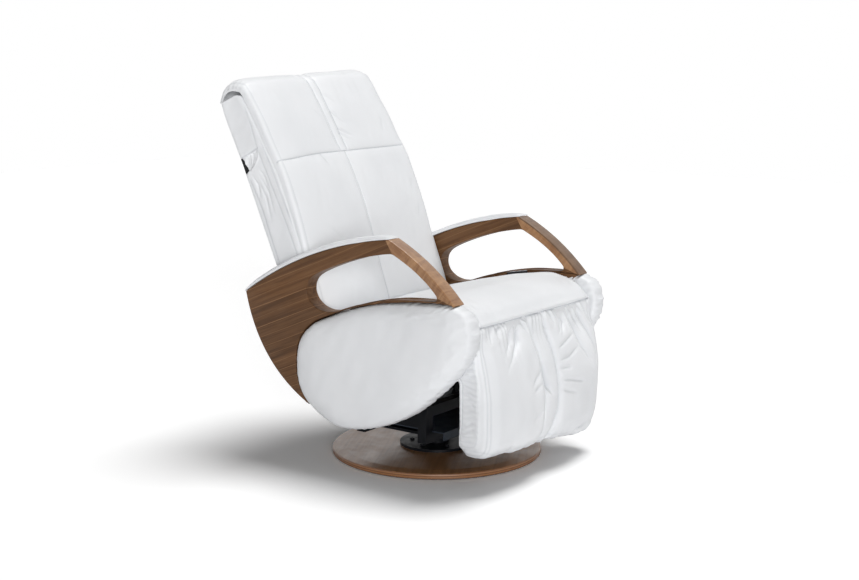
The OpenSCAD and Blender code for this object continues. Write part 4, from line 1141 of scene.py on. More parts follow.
@dataclass
class LegCover:
    """Gathered leather cover of the leg rest, hung from the seat's lip over a padded board.

    Attributes:
        width: Width of the cover.
        edge: Radius of its side rims.
        seam: Height of the seam under the seat's lip that it is gathered at.
        low: Height of its hem where the rise is nothing.
        stitch: Distance of the corner stitches from its sides.
        front: Points of (y, z) down its front at the middle, round the hem and up behind.
        inner: The same down its inside.
        hem: Points of (x, rise) of its uneven hem.
        pleats: Folds that run down from the seam.
        strip: The two seams of its middle strip, and the fold between them.
        drags: Folds across it, along points of (z, x).
    """

    width: float = 0.59
    edge: float = 0.021
    seam: float = 0.455
    low: float = 0.0915
    stitch: float = 0.0135
    front: tuple = (
        (-0.3345, 0.46), (-0.34, 0.4565), (-0.3496, 0.442), (-0.355, 0.399), (-0.3726, 0.353), (-0.3878, 0.304),
        (-0.3985, 0.251), (-0.4003, 0.192), (-0.3986, 0.147), (-0.3925, 0.116), (-0.377, 0.097), (-0.3496, 0.0915),
        (-0.317, 0.0935), (-0.299, 0.103), (-0.2912, 0.113))
    inner: tuple = (
        (-0.333, 0.459), (-0.336, 0.452), (-0.3415, 0.438), (-0.342, 0.4167), (-0.3402, 0.3856), (-0.3366, 0.3544),
        (-0.3208, 0.3337), (-0.2927, 0.3233), (-0.2916, 0.2956), (-0.2916, 0.265), (-0.2916, 0.227), (-0.2916, 0.195),
        (-0.2916, 0.164), (-0.2914, 0.14), (-0.291, 0.116))
    hem: tuple = (
        (-0.295, 0.012), (-0.254, 0.0), (-0.204, 0.003), (-0.19, 0.004), (-0.178, -0.003), (-0.127, -0.004),
        (-0.037, -0.004), (0.002, -0.005), (0.07, -0.012), (0.136, -0.022), (0.197, -0.032), (0.26, -0.034),
        (0.295, -0.008))
    pleats: tuple = (
        Crease(((-0.25, 0.455), (-0.255, 0.431), (-0.254, 0.4)), 0.004, 0.0045, 0.8),
        Crease(((-0.227, 0.455), (-0.241, 0.429), (-0.252, 0.395)), 0.0046, 0.0045, 0.8),
        Crease(((-0.205, 0.455), (-0.223, 0.42)), 0.0036, 0.004, 0.9),
        Crease(((-0.185, 0.455), (-0.205, 0.433), (-0.22, 0.405)), 0.0048, 0.005, 0.8),
        Crease(((-0.166, 0.455), (-0.178, 0.43)), 0.0034, 0.004, 0.9),
        Crease(((-0.135, 0.455), (-0.139, 0.432), (-0.156, 0.396), (-0.185, 0.372), (-0.21, 0.35)),
               0.008, 0.0066, 0.85),
        Crease(((-0.107, 0.455), (-0.108, 0.427), (-0.123, 0.391), (-0.159, 0.359), (-0.195, 0.332), (-0.222, 0.312)),
               0.009, 0.0074, 0.85),
        Crease(((-0.091, 0.455), (-0.075, 0.432), (-0.06, 0.395)), 0.005, 0.005, 0.8),
        Crease(((-0.068, 0.455), (-0.052, 0.43)), 0.0036, 0.004, 0.9),
        Crease(((0.069, 0.455), (0.078, 0.418), (0.073, 0.394)), 0.005, 0.0045, 0.8),
        Crease(((0.088, 0.455), (0.099, 0.425), (0.09, 0.4)), 0.0036, 0.004, 0.8),
        Crease(((0.11, 0.455), (0.123, 0.421), (0.108, 0.393), (0.076, 0.372)), 0.0075, 0.0055, 0.6),
        Crease(((0.13, 0.455), (0.135, 0.409), (0.108, 0.378), (0.08, 0.36)), 0.005, 0.005, 0.6),
        Crease(((0.149, 0.455), (0.172, 0.414), (0.187, 0.371), (0.196, 0.328), (0.22, 0.282), (0.232, 0.248)),
               0.0085, 0.0065, 0.6),
        Crease(((0.178, 0.455), (0.205, 0.398), (0.216, 0.35)), 0.006, 0.0055, 0.7),
        Crease(((0.203, 0.455), (0.23, 0.41), (0.243, 0.362), (0.259, 0.301), (0.271, 0.256)), 0.0075, 0.006, 0.6),
        Crease(((0.223, 0.455), (0.247, 0.408)), 0.004, 0.0045, 0.9),
        Crease(((0.248, 0.455), (0.268, 0.41), (0.277, 0.377)), 0.0045, 0.005, 0.7))
    strip: tuple = (
        Crease(((-0.058, 0.456), (-0.035, 0.4), (-0.024, 0.345), (-0.02, 0.3), (-0.026, 0.2), (-0.04, 0.13),
                (-0.056, 0.09)), 0.0058, 0.005, 0.05),
        Crease(((0.03, 0.456), (0.042, 0.4), (0.047, 0.323), (0.047, 0.26), (0.045, 0.175), (0.022, 0.12),
                (0.004, 0.088)), 0.006, 0.005, 0.05),
        Crease(((-0.026, 0.327), (-0.012, 0.262), (0.012, 0.215)), 0.0085, 0.008, 0.4, True))
    drags: tuple = (
        Crease(((0.343, 0.058), (0.355, 0.111), (0.374, 0.175)), 0.0038, 0.0042, 0.3, True),
        Crease(((0.312, 0.05), (0.314, 0.111), (0.336, 0.18)), 0.0038, 0.0044, 0.3, True),
        Crease(((0.291, 0.048), (0.285, 0.115)), 0.0036, 0.004, 0.35, True),
        Crease(((0.259, 0.046), (0.251, 0.1), (0.229, 0.185)), 0.0042, 0.0046, 0.3, True),
        Crease(((0.232, 0.044), (0.206, 0.14)), 0.0034, 0.0044, 0.35, True),
        Crease(((0.078, 0.103), (0.09, 0.182), (0.106, 0.24)), 0.005, 0.007, 0.5, True),
        Crease(((0.308, -0.036), (0.281, -0.078), (0.262, -0.112)), 0.0046, 0.006, 0.5, True),
        Crease(((0.272, -0.04), (0.256, -0.078), (0.25, -0.108)), 0.0034, 0.0055, 0.5, True),
        Crease(((0.2, -0.04), (0.17, -0.11)), 0.0024, 0.008, 0.5, True))

    def rise(self, x: Array) -> Array:
        """How far the hem lies above its low line at x."""
        return np.interp(x, *np.array(self.hem).T)

    def block(self) -> Block:
        """The cover's skin: a blend of its inside and its front, bowed at the front and rounded at its sides.

        Returns:
            The block.
        """
        half, rows = self.width / 2, 190
        top, low = spline(self.front, rows), spline(self.inner, rows)
        out = -left_of(top)
        room = np.linalg.norm(top - low, axis=1)
        a = crowded(-half, half, 240, (-half, half), 0.014, 1.6)

        def place(x: Array, row: Array, c: Array) -> Array:
            """Points of the skin at x, on a row, from 0 inside to 1 outside."""
            t, l, n = (read_line(v, row) for v in (top, low, out))
            bow = 0.021 * np.clip((0.44 - t[:, 1]) / 0.2, 0, 1) * np.abs(x / 0.279) ** 3
            bow = np.minimum(bow, 0.6 * np.maximum(-0.29 - t[:, 0], 0))
            radius = np.minimum(self.edge, 0.6 * np.interp(row, np.arange(rows), room))
            back = shrink(half - np.abs(x), radius)
            t = t - n * back[:, None] + np.stack([bow, np.zeros_like(bow)], -1)
            p = l * (1 - c[:, None]) + t * c[:, None]
            rise = self.rise(x) + 0.0014 * np.sin(x * 95) + 0.001 * np.sin(x * 171 + 1)
            z = p[:, 1] + rise * (1 - smooth(0.115, 0.25, p[:, 1]))
            wing = smooth(0.24, 0.278, np.abs(x)) * smooth(0.3, 0.345, z) * smooth(0.44, 0.385, z) * (1 - c)
            belly = bell(z, 0.27, 0.15) * smooth(0.445, 0.36, z) * c
            wide = smooth(0.1, half, np.abs(x)) * np.where(x > 0, 0.0125, 0.0045) * belly * np.sign(x)
            return np.stack([x + wide, p[:, 0] - 0.5 * np.abs(wide) + 0.042 * wing, z], -1)

        return Block(a, np.arange(rows).astype(float), np.linspace(0, 1, 26)).shape(place)

    def build(self, finishes: Finishes) -> None:
        """Gathers, pleats, the middle strip, the wrinkled gussets and the corner seams, then the object.

        Args:
            finishes: The shared finishes.
        """
        block = self.block()
        x, _, c = block.values()
        z = block.points[:, 2]
        half = self.width / 2
        outer = smooth(0.9, 1.0, c) * smooth(0.0, 0.004, z - 0.099 + 0.012)
        side = smooth(half - 0.006, half, np.abs(x)) * (1 - smooth(0.93, 1.0, c))
        panel = smooth(0.02, 0.06, np.abs(x)) * (1 - smooth(half - 0.05, half - 0.012, np.abs(x)))
        drop = self.seam - z
        folds = creases(x, z, self.pleats) * smooth(-0.006, 0.011, drop)
        strip = creases(x, z, self.strip)
        drags = creases(z, x, self.drags)
        roll = creases(x, z, [Crease(c_.path, 0.45 * c_.depth, 2.8 * c_.width, c_.fade, c_.both)
                              for c_ in self.pleats + self.strip])
        small = 0.0027 * np.sin(x * 235 + 4 * np.sin(x * 37)) * np.exp(-drop / 0.036) * smooth(0.0, 0.004, drop)
        swell = 0.0075 * panel * smooth(0.457, 0.405, z) * smooth(0.095, 0.14, z)
        sag = 0.0026 * ripple(x, z * 0.55, 11, 0.15, 2) + 0.0004 * ripple(x * 1.4, z, 12, 0.06, 1)
        band = (x > np.interp(z, (0.09, 0.175, 0.26, 0.4, 0.455), (-0.056, -0.03, -0.022, -0.035, -0.058))) & (
            x < np.interp(z, (0.088, 0.12, 0.175, 0.26, 0.4, 0.455), (0.004, 0.022, 0.045, 0.047, 0.042, 0.03)))
        drift = ripple(c * 0.09, z, 13, 0.12, 2)
        wave = np.sin(z * 2 * np.pi / 0.0165 + 1.5 * drift)
        gusset = 0.0024 * (wave - 0.3 * (1 - wave**2)) * (0.35 + 0.65 * smooth(-0.5, 0.6, ripple(
            c * 0.12 + 0.3, z * 1.7, 14, 0.09, 2))) * bell(c, 0.52, 0.36) + 0.0012 * drift
        corner = outer * sum(stripe(np.abs(x), half - step, 0.0015) for step in (0.0085, 0.017))
        second = stripe(c, 0.93, 0.012) * side + stripe(c, 0.12, 0.012) * side * (z < 0.335)
        front = outer * (swell + sag + small - 1.65 * folds - 1.9 * strip - 1.6 * drags - 2.2 * roll - 0.002 * band)
        hem = stripe(z, self.low + self.rise(x) + 0.0165, 0.0016) * outer
        block.push(front + side * (gusset + 0.004) - 0.0018 * corner - 0.002 * second - 0.0008 * hem)
        # Painted shade: the folds, pleats, strip seams, corner seams, hem and gusset wrinkle troughs darken, and so
        # does a band right under the seat's lip.
        dark = outer * np.clip(90 * folds + 100 * strip + 80 * drags + 25 * roll - 0.06, 0, 0.95)
        dark = dark + 0.5 * corner + 0.6 * second + 0.7 * outer * smooth(0.005, 0.0, drop) + 0.35 * hem
        dark = dark + 0.28 * side * smooth(-0.2, -1.0, wave) * bell(c, 0.52, 0.36)
        piece = placed("leg_rest_cover", sharp_at(block.mesh("leg_rest_cover", dark), 70), finishes.leather,
                       ["leg_cushion"])
        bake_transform(piece)
        grid = block.sheet()
        for side_ in Side:
            path = np.stack([np.full(80, block.lane(side_.value * (half - self.stitch))), np.linspace(14, 138, 80)], -1)
            thread = sewn(f"leg_stitches_{side_.word}", grid, path, finishes)
            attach(thread, "legrest")


# Lines of (v, w) up the backrest: the front of its body, and the pad's inner sheet over it
BODY_FRONT = (
    (0.0608, -0.0062), (0.1185, -0.0093), (0.1738, -0.0124), (0.2291, -0.0149), (0.2963, -0.0196), (0.395, -0.023),
    (0.4819, -0.0206), (0.5491, -0.0113), (0.6241, -0.0021), (0.6952, 0.0093), (0.7387, 0.0227))
OVERLAY_LINE = ((0.04, -0.005),) + BODY_FRONT[:-2] + (
    (0.724, 0.0135), (0.745, 0.0275), (0.756, 0.048), (0.756, 0.069), (0.745, 0.087), (0.73, 0.0965))


@dataclass
class BackBody:
    """Upholstered body of the backrest: side gussets, a hand hole in each side and a cavity behind.

    Attributes:
        edge: Radius of its side rims.
        cavity: Half the width of the cavity in its rear, which runs from cavity_low to cavity_high.
        slot: Half the width of the deeper slot in the cavity, which runs from slot_low to slot_high.
        rim: Half the width of the steps at the edges of the cavity.
        slot_rim: Half the width of the steps at the edges of the slot.
    """

    width: float = 0.595
    low: float = 0.058
    high: float = 0.735
    edge: float = 0.016
    cavity: float = 0.2405
    cavity_low: float = 0.0605
    cavity_high: float = 0.7152
    slot: float = 0.125
    slot_low: float = 0.146
    slot_high: float = 0.608
    rim: float = 0.0008
    slot_rim: float = 0.002

    def front(self, v: Array) -> Array:
        """How far behind the hinge line the front lies at v."""
        line = spline(BODY_FRONT, 200)
        return np.interp(v, line[:, 0], line[:, 1])

    def rear(self, v: Array) -> Array:
        """How far behind the hinge line the rear lies at v."""
        return np.interp(v, (0.058, 0.075, 0.095, 0.54, 0.7, 0.73, 0.744),
                         (0.094, 0.1, 0.103, 0.103, 0.1095, 0.1085, 0.104))

    @staticmethod
    def recess(x: Array, v: Array, half: float, low: float, high: float, rim: float) -> Array:
        """1 inside a recess of half its width from low to high, and 0 outside it, over steps of 2 rim."""
        return smooth(half + rim, half - rim, np.abs(x)) * smooth(low - rim, low + rim, v) * smooth(
            high + rim, high - rim, v)

    def block(self) -> Block:
        """The skin: between front and rear, rounded at all rims, with the rear sunk to the cavity's front wall.

        Returns:
            The block.
        """
        half = self.width / 2
        a = crowded(-half, half, 150, (-half, half, -self.cavity, self.cavity, -self.slot, self.slot), 0.005, 9.0)
        rims = (self.low, self.high, self.cavity_low, self.cavity_high, 0.535, 0.562)
        b = crowded(self.low, self.high, 210, rims, 0.006, 5.0)

        def place(x: Array, v: Array, c: Array) -> Array:
            """Points of the skin at x, v up the backrest, from 0 at the front to 1 at the rear."""
            f, r = self.front(v), self.rear(v)
            ends = np.minimum(v - self.low, self.high - v)
            back = np.maximum(shrink(half - np.abs(x), self.edge), shrink(ends, 0.018))
            f, r = f + back, r - back
            open_ = self.recess(x, v, self.cavity, self.cavity_low, self.cavity_high, self.rim)
            wall = np.interp(v, (0.06, 0.474, 0.716), (0.0045, 0.0045, 0.034))
            slot = self.recess(x, v, self.slot, self.slot_low, self.slot_high, self.slot_rim)
            floor = wall * (1 - slot) + (f + 0.002) * slot
            r = r * (1 - open_) + floor * open_
            return BACK.place(x, v, f * (1 - c) + r * c)

        return Block(a, b, 1 - np.linspace(0, 1, 46)).shape(place)

    def build(self, finishes: Finishes) -> None:
        """Side seams, the hand holes with their folds, then the object.

        Args:
            finishes: The shared finishes.
        """
        block = self.block()
        x, v, c = block.values()
        half = self.width / 2
        w = BACK.local(block.points)[1]
        side = smooth(half - 0.003, half - 0.0005, np.abs(x)) * np.ones_like(v)
        seams = creases(w, v, (
            Crease(((-0.013, 0.06), (-0.013, 0.297), (-0.005, 0.516), (0.007, 0.684), (0.019, 0.738)),
                   0.0026, 0.0024, 0.01),
            Crease(((0.0, 0.06), (0.008, 0.326), (0.02, 0.505), (0.022, 0.561)), 0.002, 0.0022, 0.01),
            Crease(((0.09, 0.06), (0.084, 0.237), (0.078, 0.38), (0.086, 0.5)), 0.0024, 0.0026, 0.05, True)))
        seams += creases(v, w, (Crease(((0.5645, 0.019), (0.562, 0.06), (0.5605, 0.1)), 0.0024, 0.0022, 0.01),))
        seams += creases(w, v, (Crease(((0.0215, 0.56), (0.0165, 0.64), (0.0165, 0.74)), 0.0018, 0.0022, 0.01),))
        folds = creases(w, v, (
            Crease(((0.06, 0.33), (0.052, 0.42), (0.06, 0.5)), 0.0032, 0.006, 0.5, True),
            Crease(((0.04, 0.35), (0.036, 0.43), (0.05, 0.505)), 0.0028, 0.005, 0.5, True),
            Crease(((0.072, 0.41), (0.066, 0.47), (0.074, 0.512)), 0.0034, 0.0045, 0.5, True),
            Crease(((0.03, 0.43), (0.032, 0.48), (0.044, 0.52)), 0.0022, 0.004, 0.5, True)))
        far = np.sqrt(((v - 0.56) / 0.047) ** 2 + ((w - 0.104) / 0.076) ** 2)
        hole = smooth(1.05, 0.97, far) * smooth(0.5615, 0.5585, v)
        crumple = 0.0026 * ripple(w * 2.4, v * 0.9, 21, 0.05, 3)
        gap = smooth(0.0, 0.006, w - 0.0915 + 0.26 * (0.556 - v))
        depth = hole * (0.0055 + crumple + 0.02 * gap) * (np.abs(x) > half - 0.02) * smooth(0.099, 0.0935, w)
        lip = 0.0016 * bell(far, 1.07, 0.05) * (v < 0.562)
        soft = 0.0011 * ripple(w, v, 22, 0.12, 3)
        block.push(side * (soft + lip - seams - 2.2 * folds) + (1 - side) * 0.0005 * ripple(x, v, 23, 0.2, 2))
        block.points[:, 0] -= np.sign(x) * depth
        # Painted shade in the side seams and the folds by the hand holes.
        mesh = sharp_at(block.mesh("back_body_leather", side * np.clip(0.7 * seams / 0.0024 + 80 * folds, 0, 0.8)), 60)
        mesh.materials.append(finishes.leather)
        # The deepest part of each hand hole gets the near-black felt as painted shadow; the floor of the rear cavity
        # gets it too.
        black = (hole * gap > 0.35) & (np.abs(x) > half - 0.02)
        inside = (np.abs(x) < self.cavity + 0.001) & (c < 0.001) & (w < 0.085)
        corner = (black | inside)[block.quads]
        dark = (corner.sum(1) >= 3).astype(np.int32)
        mesh.polygons.foreach_set("material_index", dark)
        piece = placed("back_body_leather", mesh, finishes.lining, ["back_body"])
        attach(piece, "backrest")


@dataclass
class BackOverlay:
    """Overlay pad of the backrest: sewn panels either side of a middle strip, rolled over the top.

    Attributes:
        gap: Distance of its inner sheet from the body.
        cross: Height of its cross seam up the backrest.
        strip: Half the width of the strip above the cross seam.
        stitch: Distance of the stitches from the seams.
        rim_stitch: Distance of the rims' stitches from its sides.
        rows: Number of rows along its line.
        depth: Its thickness at the near edge, the middle and the far edge, at distances along its line.
        run: Running length at each row.
        cross_run: Running length at the cross seam.
    """

    width: float = 0.596
    gap: float = 0.0015
    cross: float = 0.507
    strip: float = 0.016
    stitch: float = 0.0034
    rim_stitch: float = 0.0155
    rows: int = 260
    depth: tuple = (
        (0.0, 0.0125, 0.02, 0.03), (0.2, 0.0165, 0.0285, 0.032), (0.3, 0.02, 0.0325, 0.0325),
        (0.46, 0.025, 0.0275, 0.033), (0.6, 0.026, 0.0285, 0.03), (0.72, 0.02, 0.024, 0.0235),
        (0.82, 0.012, 0.014, 0.012), (1.0, 0.01, 0.011, 0.01))
    run: Array = field(init=False)
    cross_run: float = field(init=False)

    def block(self) -> Block:
        """The pad's skin: inner sheet on the body's front line and outer sheet off it by the pad's thickness.

        The thickness at each height is a parabola through its depths at the two edges and the middle, plus a
        puff of the panels, (1 - e^(-d/k)) for the distances d from the seams and edges.

        Returns:
            The block.
        """
        half, rows = self.width / 2, self.rows
        line = spline(OVERLAY_LINE, rows)
        out = -left_of(line)
        self.run = run = np.linspace(0, np.linalg.norm(np.diff(line, axis=0), axis=1).sum(), rows)
        self.cross_run = float(np.interp(self.cross, line[:180, 0], run[:180]))
        a = crowded(-half, half, 190, (-half, half, 0.0, -self.strip, self.strip), 0.007, 4.0)
        b = crowded(0, rows - 1, rows, (0, rows - 1, self.cross_run / run[-1] * (rows - 1)), 3.0, 1.8)

        def place(x: Array, row: Array, c: Array) -> Array:
            """Points of the skin at x, on a row, from 0 inside to 1 outside."""
            p, n = read_line(line, row), read_line(out, row)
            at = row / (rows - 1)
            s = at * run[-1]
            u = x / half
            upper = smooth(self.cross_run - 0.002, self.cross_run + 0.002, s)
            middle = np.abs(x) * (1 - upper) + np.maximum(np.abs(x) - self.strip, 0) * upper
            inside = upper * np.clip(1 - (x / self.strip) ** 2, 0, 1)
            ends = np.minimum(s, run[-1] - s)
            puff = (1 - np.exp(-middle / 0.017)) * (1 - np.exp(-np.maximum(half - 0.011 - np.abs(x), 0) / 0.026)) * (
                1 - stripe(s, self.cross_run, 0.018)) * (1 - np.exp(-ends / 0.03))
            height, near, mid, far = np.array(self.depth).T
            near, mid, far = (np.interp(s, height, depth) for depth in (near, mid, far))
            whole = mid * (1 - u**2) + far * u * (1 + u) / 2 + near * u * (u - 1) / 2
            full = whole + 0.0055 * puff + 0.002 * inside * (ends > 0.01)
            rim = np.minimum(shrink(half - np.abs(x), 0.012), 0.0125) + np.minimum(shrink(ends, 0.009), 0.01)
            thick = self.gap + np.maximum(full - rim, 0.002)
            q = p + n * (self.gap * (1 - c) + thick * c)[:, None]
            arch = (0.021 + 0.016 * u + 0.004 * u**2) * np.clip(p[:, 0] / 0.79, 0, 1) ** 8
            corner = (0.0065 - 0.0055 * u) * smooth(0.84, 1.0, np.abs(u)) ** 2 * smooth(0.71, 0.76, p[:, 0])
            dip = 0.01 * smooth(0.3, 1.0, -u) * bell(p[:, 0], 0.507, 0.08)
            return BACK.place(x, q[:, 0] + arch - corner - dip, q[:, 1])

        return Block(a, b, np.linspace(0, 1, 8)).shape(place)

    def build(self, finishes: Finishes) -> None:
        """Seams, wrinkles and the gathered rim of the roll, then the object and its stitches.

        Args:
            finishes: The shared finishes.
        """
        block = self.block()
        x, row, c = block.values()
        half = self.width / 2
        s = row / (self.rows - 1) * self.run[-1]
        outer = smooth(0.75, 1.0, c)
        upper = s > self.cross_run
        o, width = self.cross_run, 0.0016
        seam = np.maximum(stripe(s, o, width), stripe(np.abs(x), np.where(upper, self.strip, 0), width))
        seam = np.maximum(seam, 0.8 * stripe(np.abs(x), half - 0.012, width)) * outer
        folds = creases(x, s, (
            Crease(((-0.112, o - 0.002), (-0.104, o - 0.022), (-0.095, o - 0.045)), 0.0028, 0.004, 0.6),
            Crease(((-0.15, o - 0.004), (-0.146, o - 0.03)), 0.0014, 0.0045, 0.6),
            Crease(((0.016, o + 0.075), (0.05, o + 0.055), (0.08, o + 0.036)), 0.003, 0.0046, 0.6),
            Crease(((0.016, o + 0.06), (0.04, o + 0.042), (0.058, o + 0.024)), 0.0026, 0.0036, 0.6),
            Crease(((0.02, o + 0.13), (0.05, o + 0.098), (0.08, o + 0.074)), 0.0018, 0.0055, 0.6),
            Crease(((0.015, o + 0.19), (0.04, o + 0.175), (0.065, o + 0.15)), 0.0014, 0.0055, 0.6),
            Crease(((-0.06, o + 0.15), (-0.035, o + 0.11)), 0.0012, 0.006, 0.5, True),
            Crease(((0.25, o + 0.12), (0.215, o + 0.04)), 0.0012, 0.006, 0.5, True),
            Crease(((0.262, o - 0.18), (0.24, o - 0.24)), 0.0014, 0.006, 0.5, True),
            Crease(((0.262, o - 0.1), (0.246, o - 0.15)), 0.0012, 0.005, 0.5, True),
            Crease(((-0.2, o - 0.2), (-0.12, o - 0.285)), 0.001, 0.008, 0.5, True)))
        soft = 0.001 * ripple(x, s, 31, 0.2, 2) + 0.0003 * ripple(x * 1.2, s * 0.8, 32, 0.08, 2)
        roll = 0.0011 * np.sin(s * 330 + 3 * np.sin(s * 61)) * smooth(half - 0.055, half - 0.01, np.abs(x)) * smooth(
            0.66, 0.72, s) * smooth(0.9, 0.8, s)
        pucker = 0.0006 * np.sin(x * 700 + 5 * np.sin(x * 90)) * stripe(s, o, 0.012)
        block.push(outer * (soft + roll + pucker - 1.4 * folds) - 0.0024 * seam)
        # Painted shade in the seams and folds.
        mesh = sharp_at(block.mesh("back_overlay_leather", 0.85 * seam + 110 * folds * outer), 70)
        piece = placed("back_overlay_leather", mesh, finishes.leather, ["back_pad"])
        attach(piece, "backrest")
        self.sew(block, finishes)

    def sew(self, block: Block, finishes: Finishes) -> None:
        """Stitches beside the cross seam, the middle seams and the two rims.

        Args:
            block: The pad's skin.
            finishes: The shared finishes.
        """
        grid, half = block.sheet(), self.width / 2
        rows = np.interp(self.cross_run / self.run[-1] * (self.rows - 1), block.b, np.arange(len(block.b)))
        step = self.stitch / (self.run[-1] / (self.rows - 1)) * 1.6
        last = len(block.b) - 4.0
        near, far = block.lane(-half + 0.014), block.lane(half - 0.014)
        paths = {"cross_low": ((near, rows - step), (far, rows - step)),
                 "cross_high": ((near, rows + step), (far, rows + step))}
        for name, x, start, end in (("middle", self.stitch, 4, rows - 2),
                                    ("strip", self.strip + self.stitch, rows + 2, last),
                                    ("rim", half - self.rim_stitch, 4, last)):
            for side in Side:
                lane = block.lane(side.value * x)
                paths[f"{name}_{side.word}"] = ((lane, start), (lane, end))
        for name, (start, end) in paths.items():
            thread = sewn(f"back_stitches_{name}", grid, np.linspace(start, end, 90), finishes)
            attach(thread, "backrest")


@dataclass
class SidePad:
    """Teardrop pad outside an arm: a crowned front panel, a gusset band and piping at its back edge.

    Attributes:
        corner: Lowest Y and Z of its outline, whose length and height are its size.
        back: Distance of its back edge from the chair's middle plane.
        thick: Height of its crown over its back edge.
        around: Number of points round it.
        girth: Length round its outline.
        cord: Radius of its piping.
        outline: Its outline, as shares of its size.
        profile: From its back edge to its crown, shares of its outline's size and of its thickness.
        inner: Distance of its back edge from the middle plane where the leather goes round the arm's front.
    """

    side: Side
    corner: tuple = (-0.3679, 0.13205)
    size: tuple = (0.609, 0.388)
    back: float = 0.3344
    thick: float = 0.0506
    around: int = 300
    girth: float = 1.62
    cord: float = 0.0026
    outline: tuple = (
        (0.856, 0.773), (0.899, 0.738), (0.94, 0.688), (0.974, 0.62), (0.995, 0.53), (1.001, 0.43), (0.997, 0.325),
        (0.974, 0.222), (0.925, 0.132), (0.803, 0.021), (0.683, 0.0), (0.507, 0.054), (0.337, 0.175), (0.172, 0.379),
        (0.067, 0.552), (0.013, 0.69), (0.0, 0.832), (0.03, 0.95), (0.1, 0.99), (0.28, 0.99), (0.447, 0.966),
        (0.647, 0.894))
    profile: tuple = (
        (0.73, 0.0), (0.8, 0.0), (0.88, 0.0), (0.935, 0.0), (0.962, 0.02), (0.984, 0.09), (0.996, 0.19), (1.0, 0.29),
        (0.994, 0.41), (0.978, 0.53), (0.95, 0.64), (0.905, 0.74), (0.835, 0.83), (0.72, 0.905), (0.52, 0.962),
        (0.26, 0.992), (0.02, 1.0))
    inner: float = 0.3012

    @property
    def middle(self) -> Array:
        """Middle of the outline in Y and Z."""
        return np.array(self.corner) + np.array(self.size) / 2

    def ring(self, count: int, grow: float = 0.0) -> Array:
        """The closed outline in Y and Z, grown away from its middle."""
        line = spline(np.array(self.outline) * self.size + self.corner, count, closed=True)
        return line + grow * unit(line - self.middle)

    @staticmethod
    def wrap(line: Array) -> Array:
        """How far the leather goes round the front of the board and the arm's panel, 0 to 1."""
        return smooth(-0.03, -0.15, line[:, 0])

    def build(self, finishes: Finishes) -> None:
        """Layers of the outline from the back edge to the crown, puckered along the gusset band.

        Args:
            finishes: The shared finishes.
        """
        middle = self.middle
        line = self.ring(self.around, -0.0014)
        line = middle + (line - middle) * (1 - 0.005 * smooth(0.0, 0.16, line[:, 0]))[:, None]
        layers = spline(self.profile, 110)
        share, height = layers[:, 0], layers[:, 1]
        round_ = self.wrap(line)[None]
        rounder = 1 - 0.045 * round_ * bell(height[:, None], 0.68, 0.22)
        grid = middle + (line - middle)[None] * (share[:, None] * rounder)[..., None]
        x = self.back + self.thick * height[:, None] * np.ones(self.around)
        x = x - (self.back - self.inner) * round_ * (1 - smooth(0.0, 0.5, height[:, None]))
        points = np.concatenate([x[..., None], grid], -1)
        n = normals(points, True)
        if (n[50, 0] * (points[50, 0] - np.array([self.back, *middle]))).sum() < 0:
            n = -n
        run = np.linspace(0, 1, self.around, endpoint=False)[None] * np.ones_like(x)
        length = self.girth * run
        band = bell(height[:, None], 0.25, 0.26) * smooth(0.86, 0.93, share[:, None])
        front = 0.35 + 0.65 * smooth(-0.1, -0.3, points[..., 1])
        pucker = 0.003 * ripple(length * 5.2, share[:, None] * 0.5, 41, 0.11, 3) * band * front
        pull = 0.0014 * ripple(length * 2.4, share[:, None] * 0.6, 42, 0.16, 2) * front
        pull = pull * bell(share[:, None], 0.9, 0.085)
        soft = 0.0012 * ripple(points[..., 1], points[..., 2], 43, 0.22, 3) * smooth(0.98, 0.8, share[:, None])
        inner = smooth(0.95, 0.93, share[:, None]) * smooth(0.3, 0.1, height[:, None])
        move = pucker + pull + soft * (1 - inner)
        points = points + n * move[..., None]
        points[..., 0] *= self.side.value
        mesh = outward(tube(f"side_pad_{self.side.word}", points))
        piece = placed(f"side_pad_leather_{self.side.word}", sharp_at(mesh, 60), finishes.pad_leather,
                       [f"side_pad_{self.side.word}"])
        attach(piece, "chair")
        self.piping(finishes)

    def piping(self, finishes: Finishes) -> None:
        """A round cord under the leather along the back edge: circles carried along the outline.

        Args:
            finishes: The shared finishes.
        """
        line, middle = self.ring(240, -0.003), self.middle
        line = middle + (line - middle) * (1 - 0.02 * self.wrap(line))[:, None]
        way = np.roll(line, -1, 0) - np.roll(line, 1, 0)
        out = unit(np.stack([way[:, 1], -way[:, 0]], -1))
        out *= np.sign(((line - middle) * out).sum(1, keepdims=True))
        turn = np.linspace(0, 2 * np.pi, 12, endpoint=False)
        flat = line[:, None] + out[:, None] * (self.cord * np.cos(turn))[None, :, None]
        x = self.back + 0.0016 + self.cord * np.sin(turn)[None] * np.ones((len(line), 1))
        points = np.concatenate([(self.side.value * x)[..., None], flat], -1)
        points = np.concatenate([points, points[:1]])
        mesh = outward(mesh_of(f"side_piping_{self.side.word}", points.reshape(-1, 3), ring_faces(len(points), 12)))
        piece = placed(f"side_piping_{self.side.word}", mesh, finishes.pad_leather)
        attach(piece, "chair")


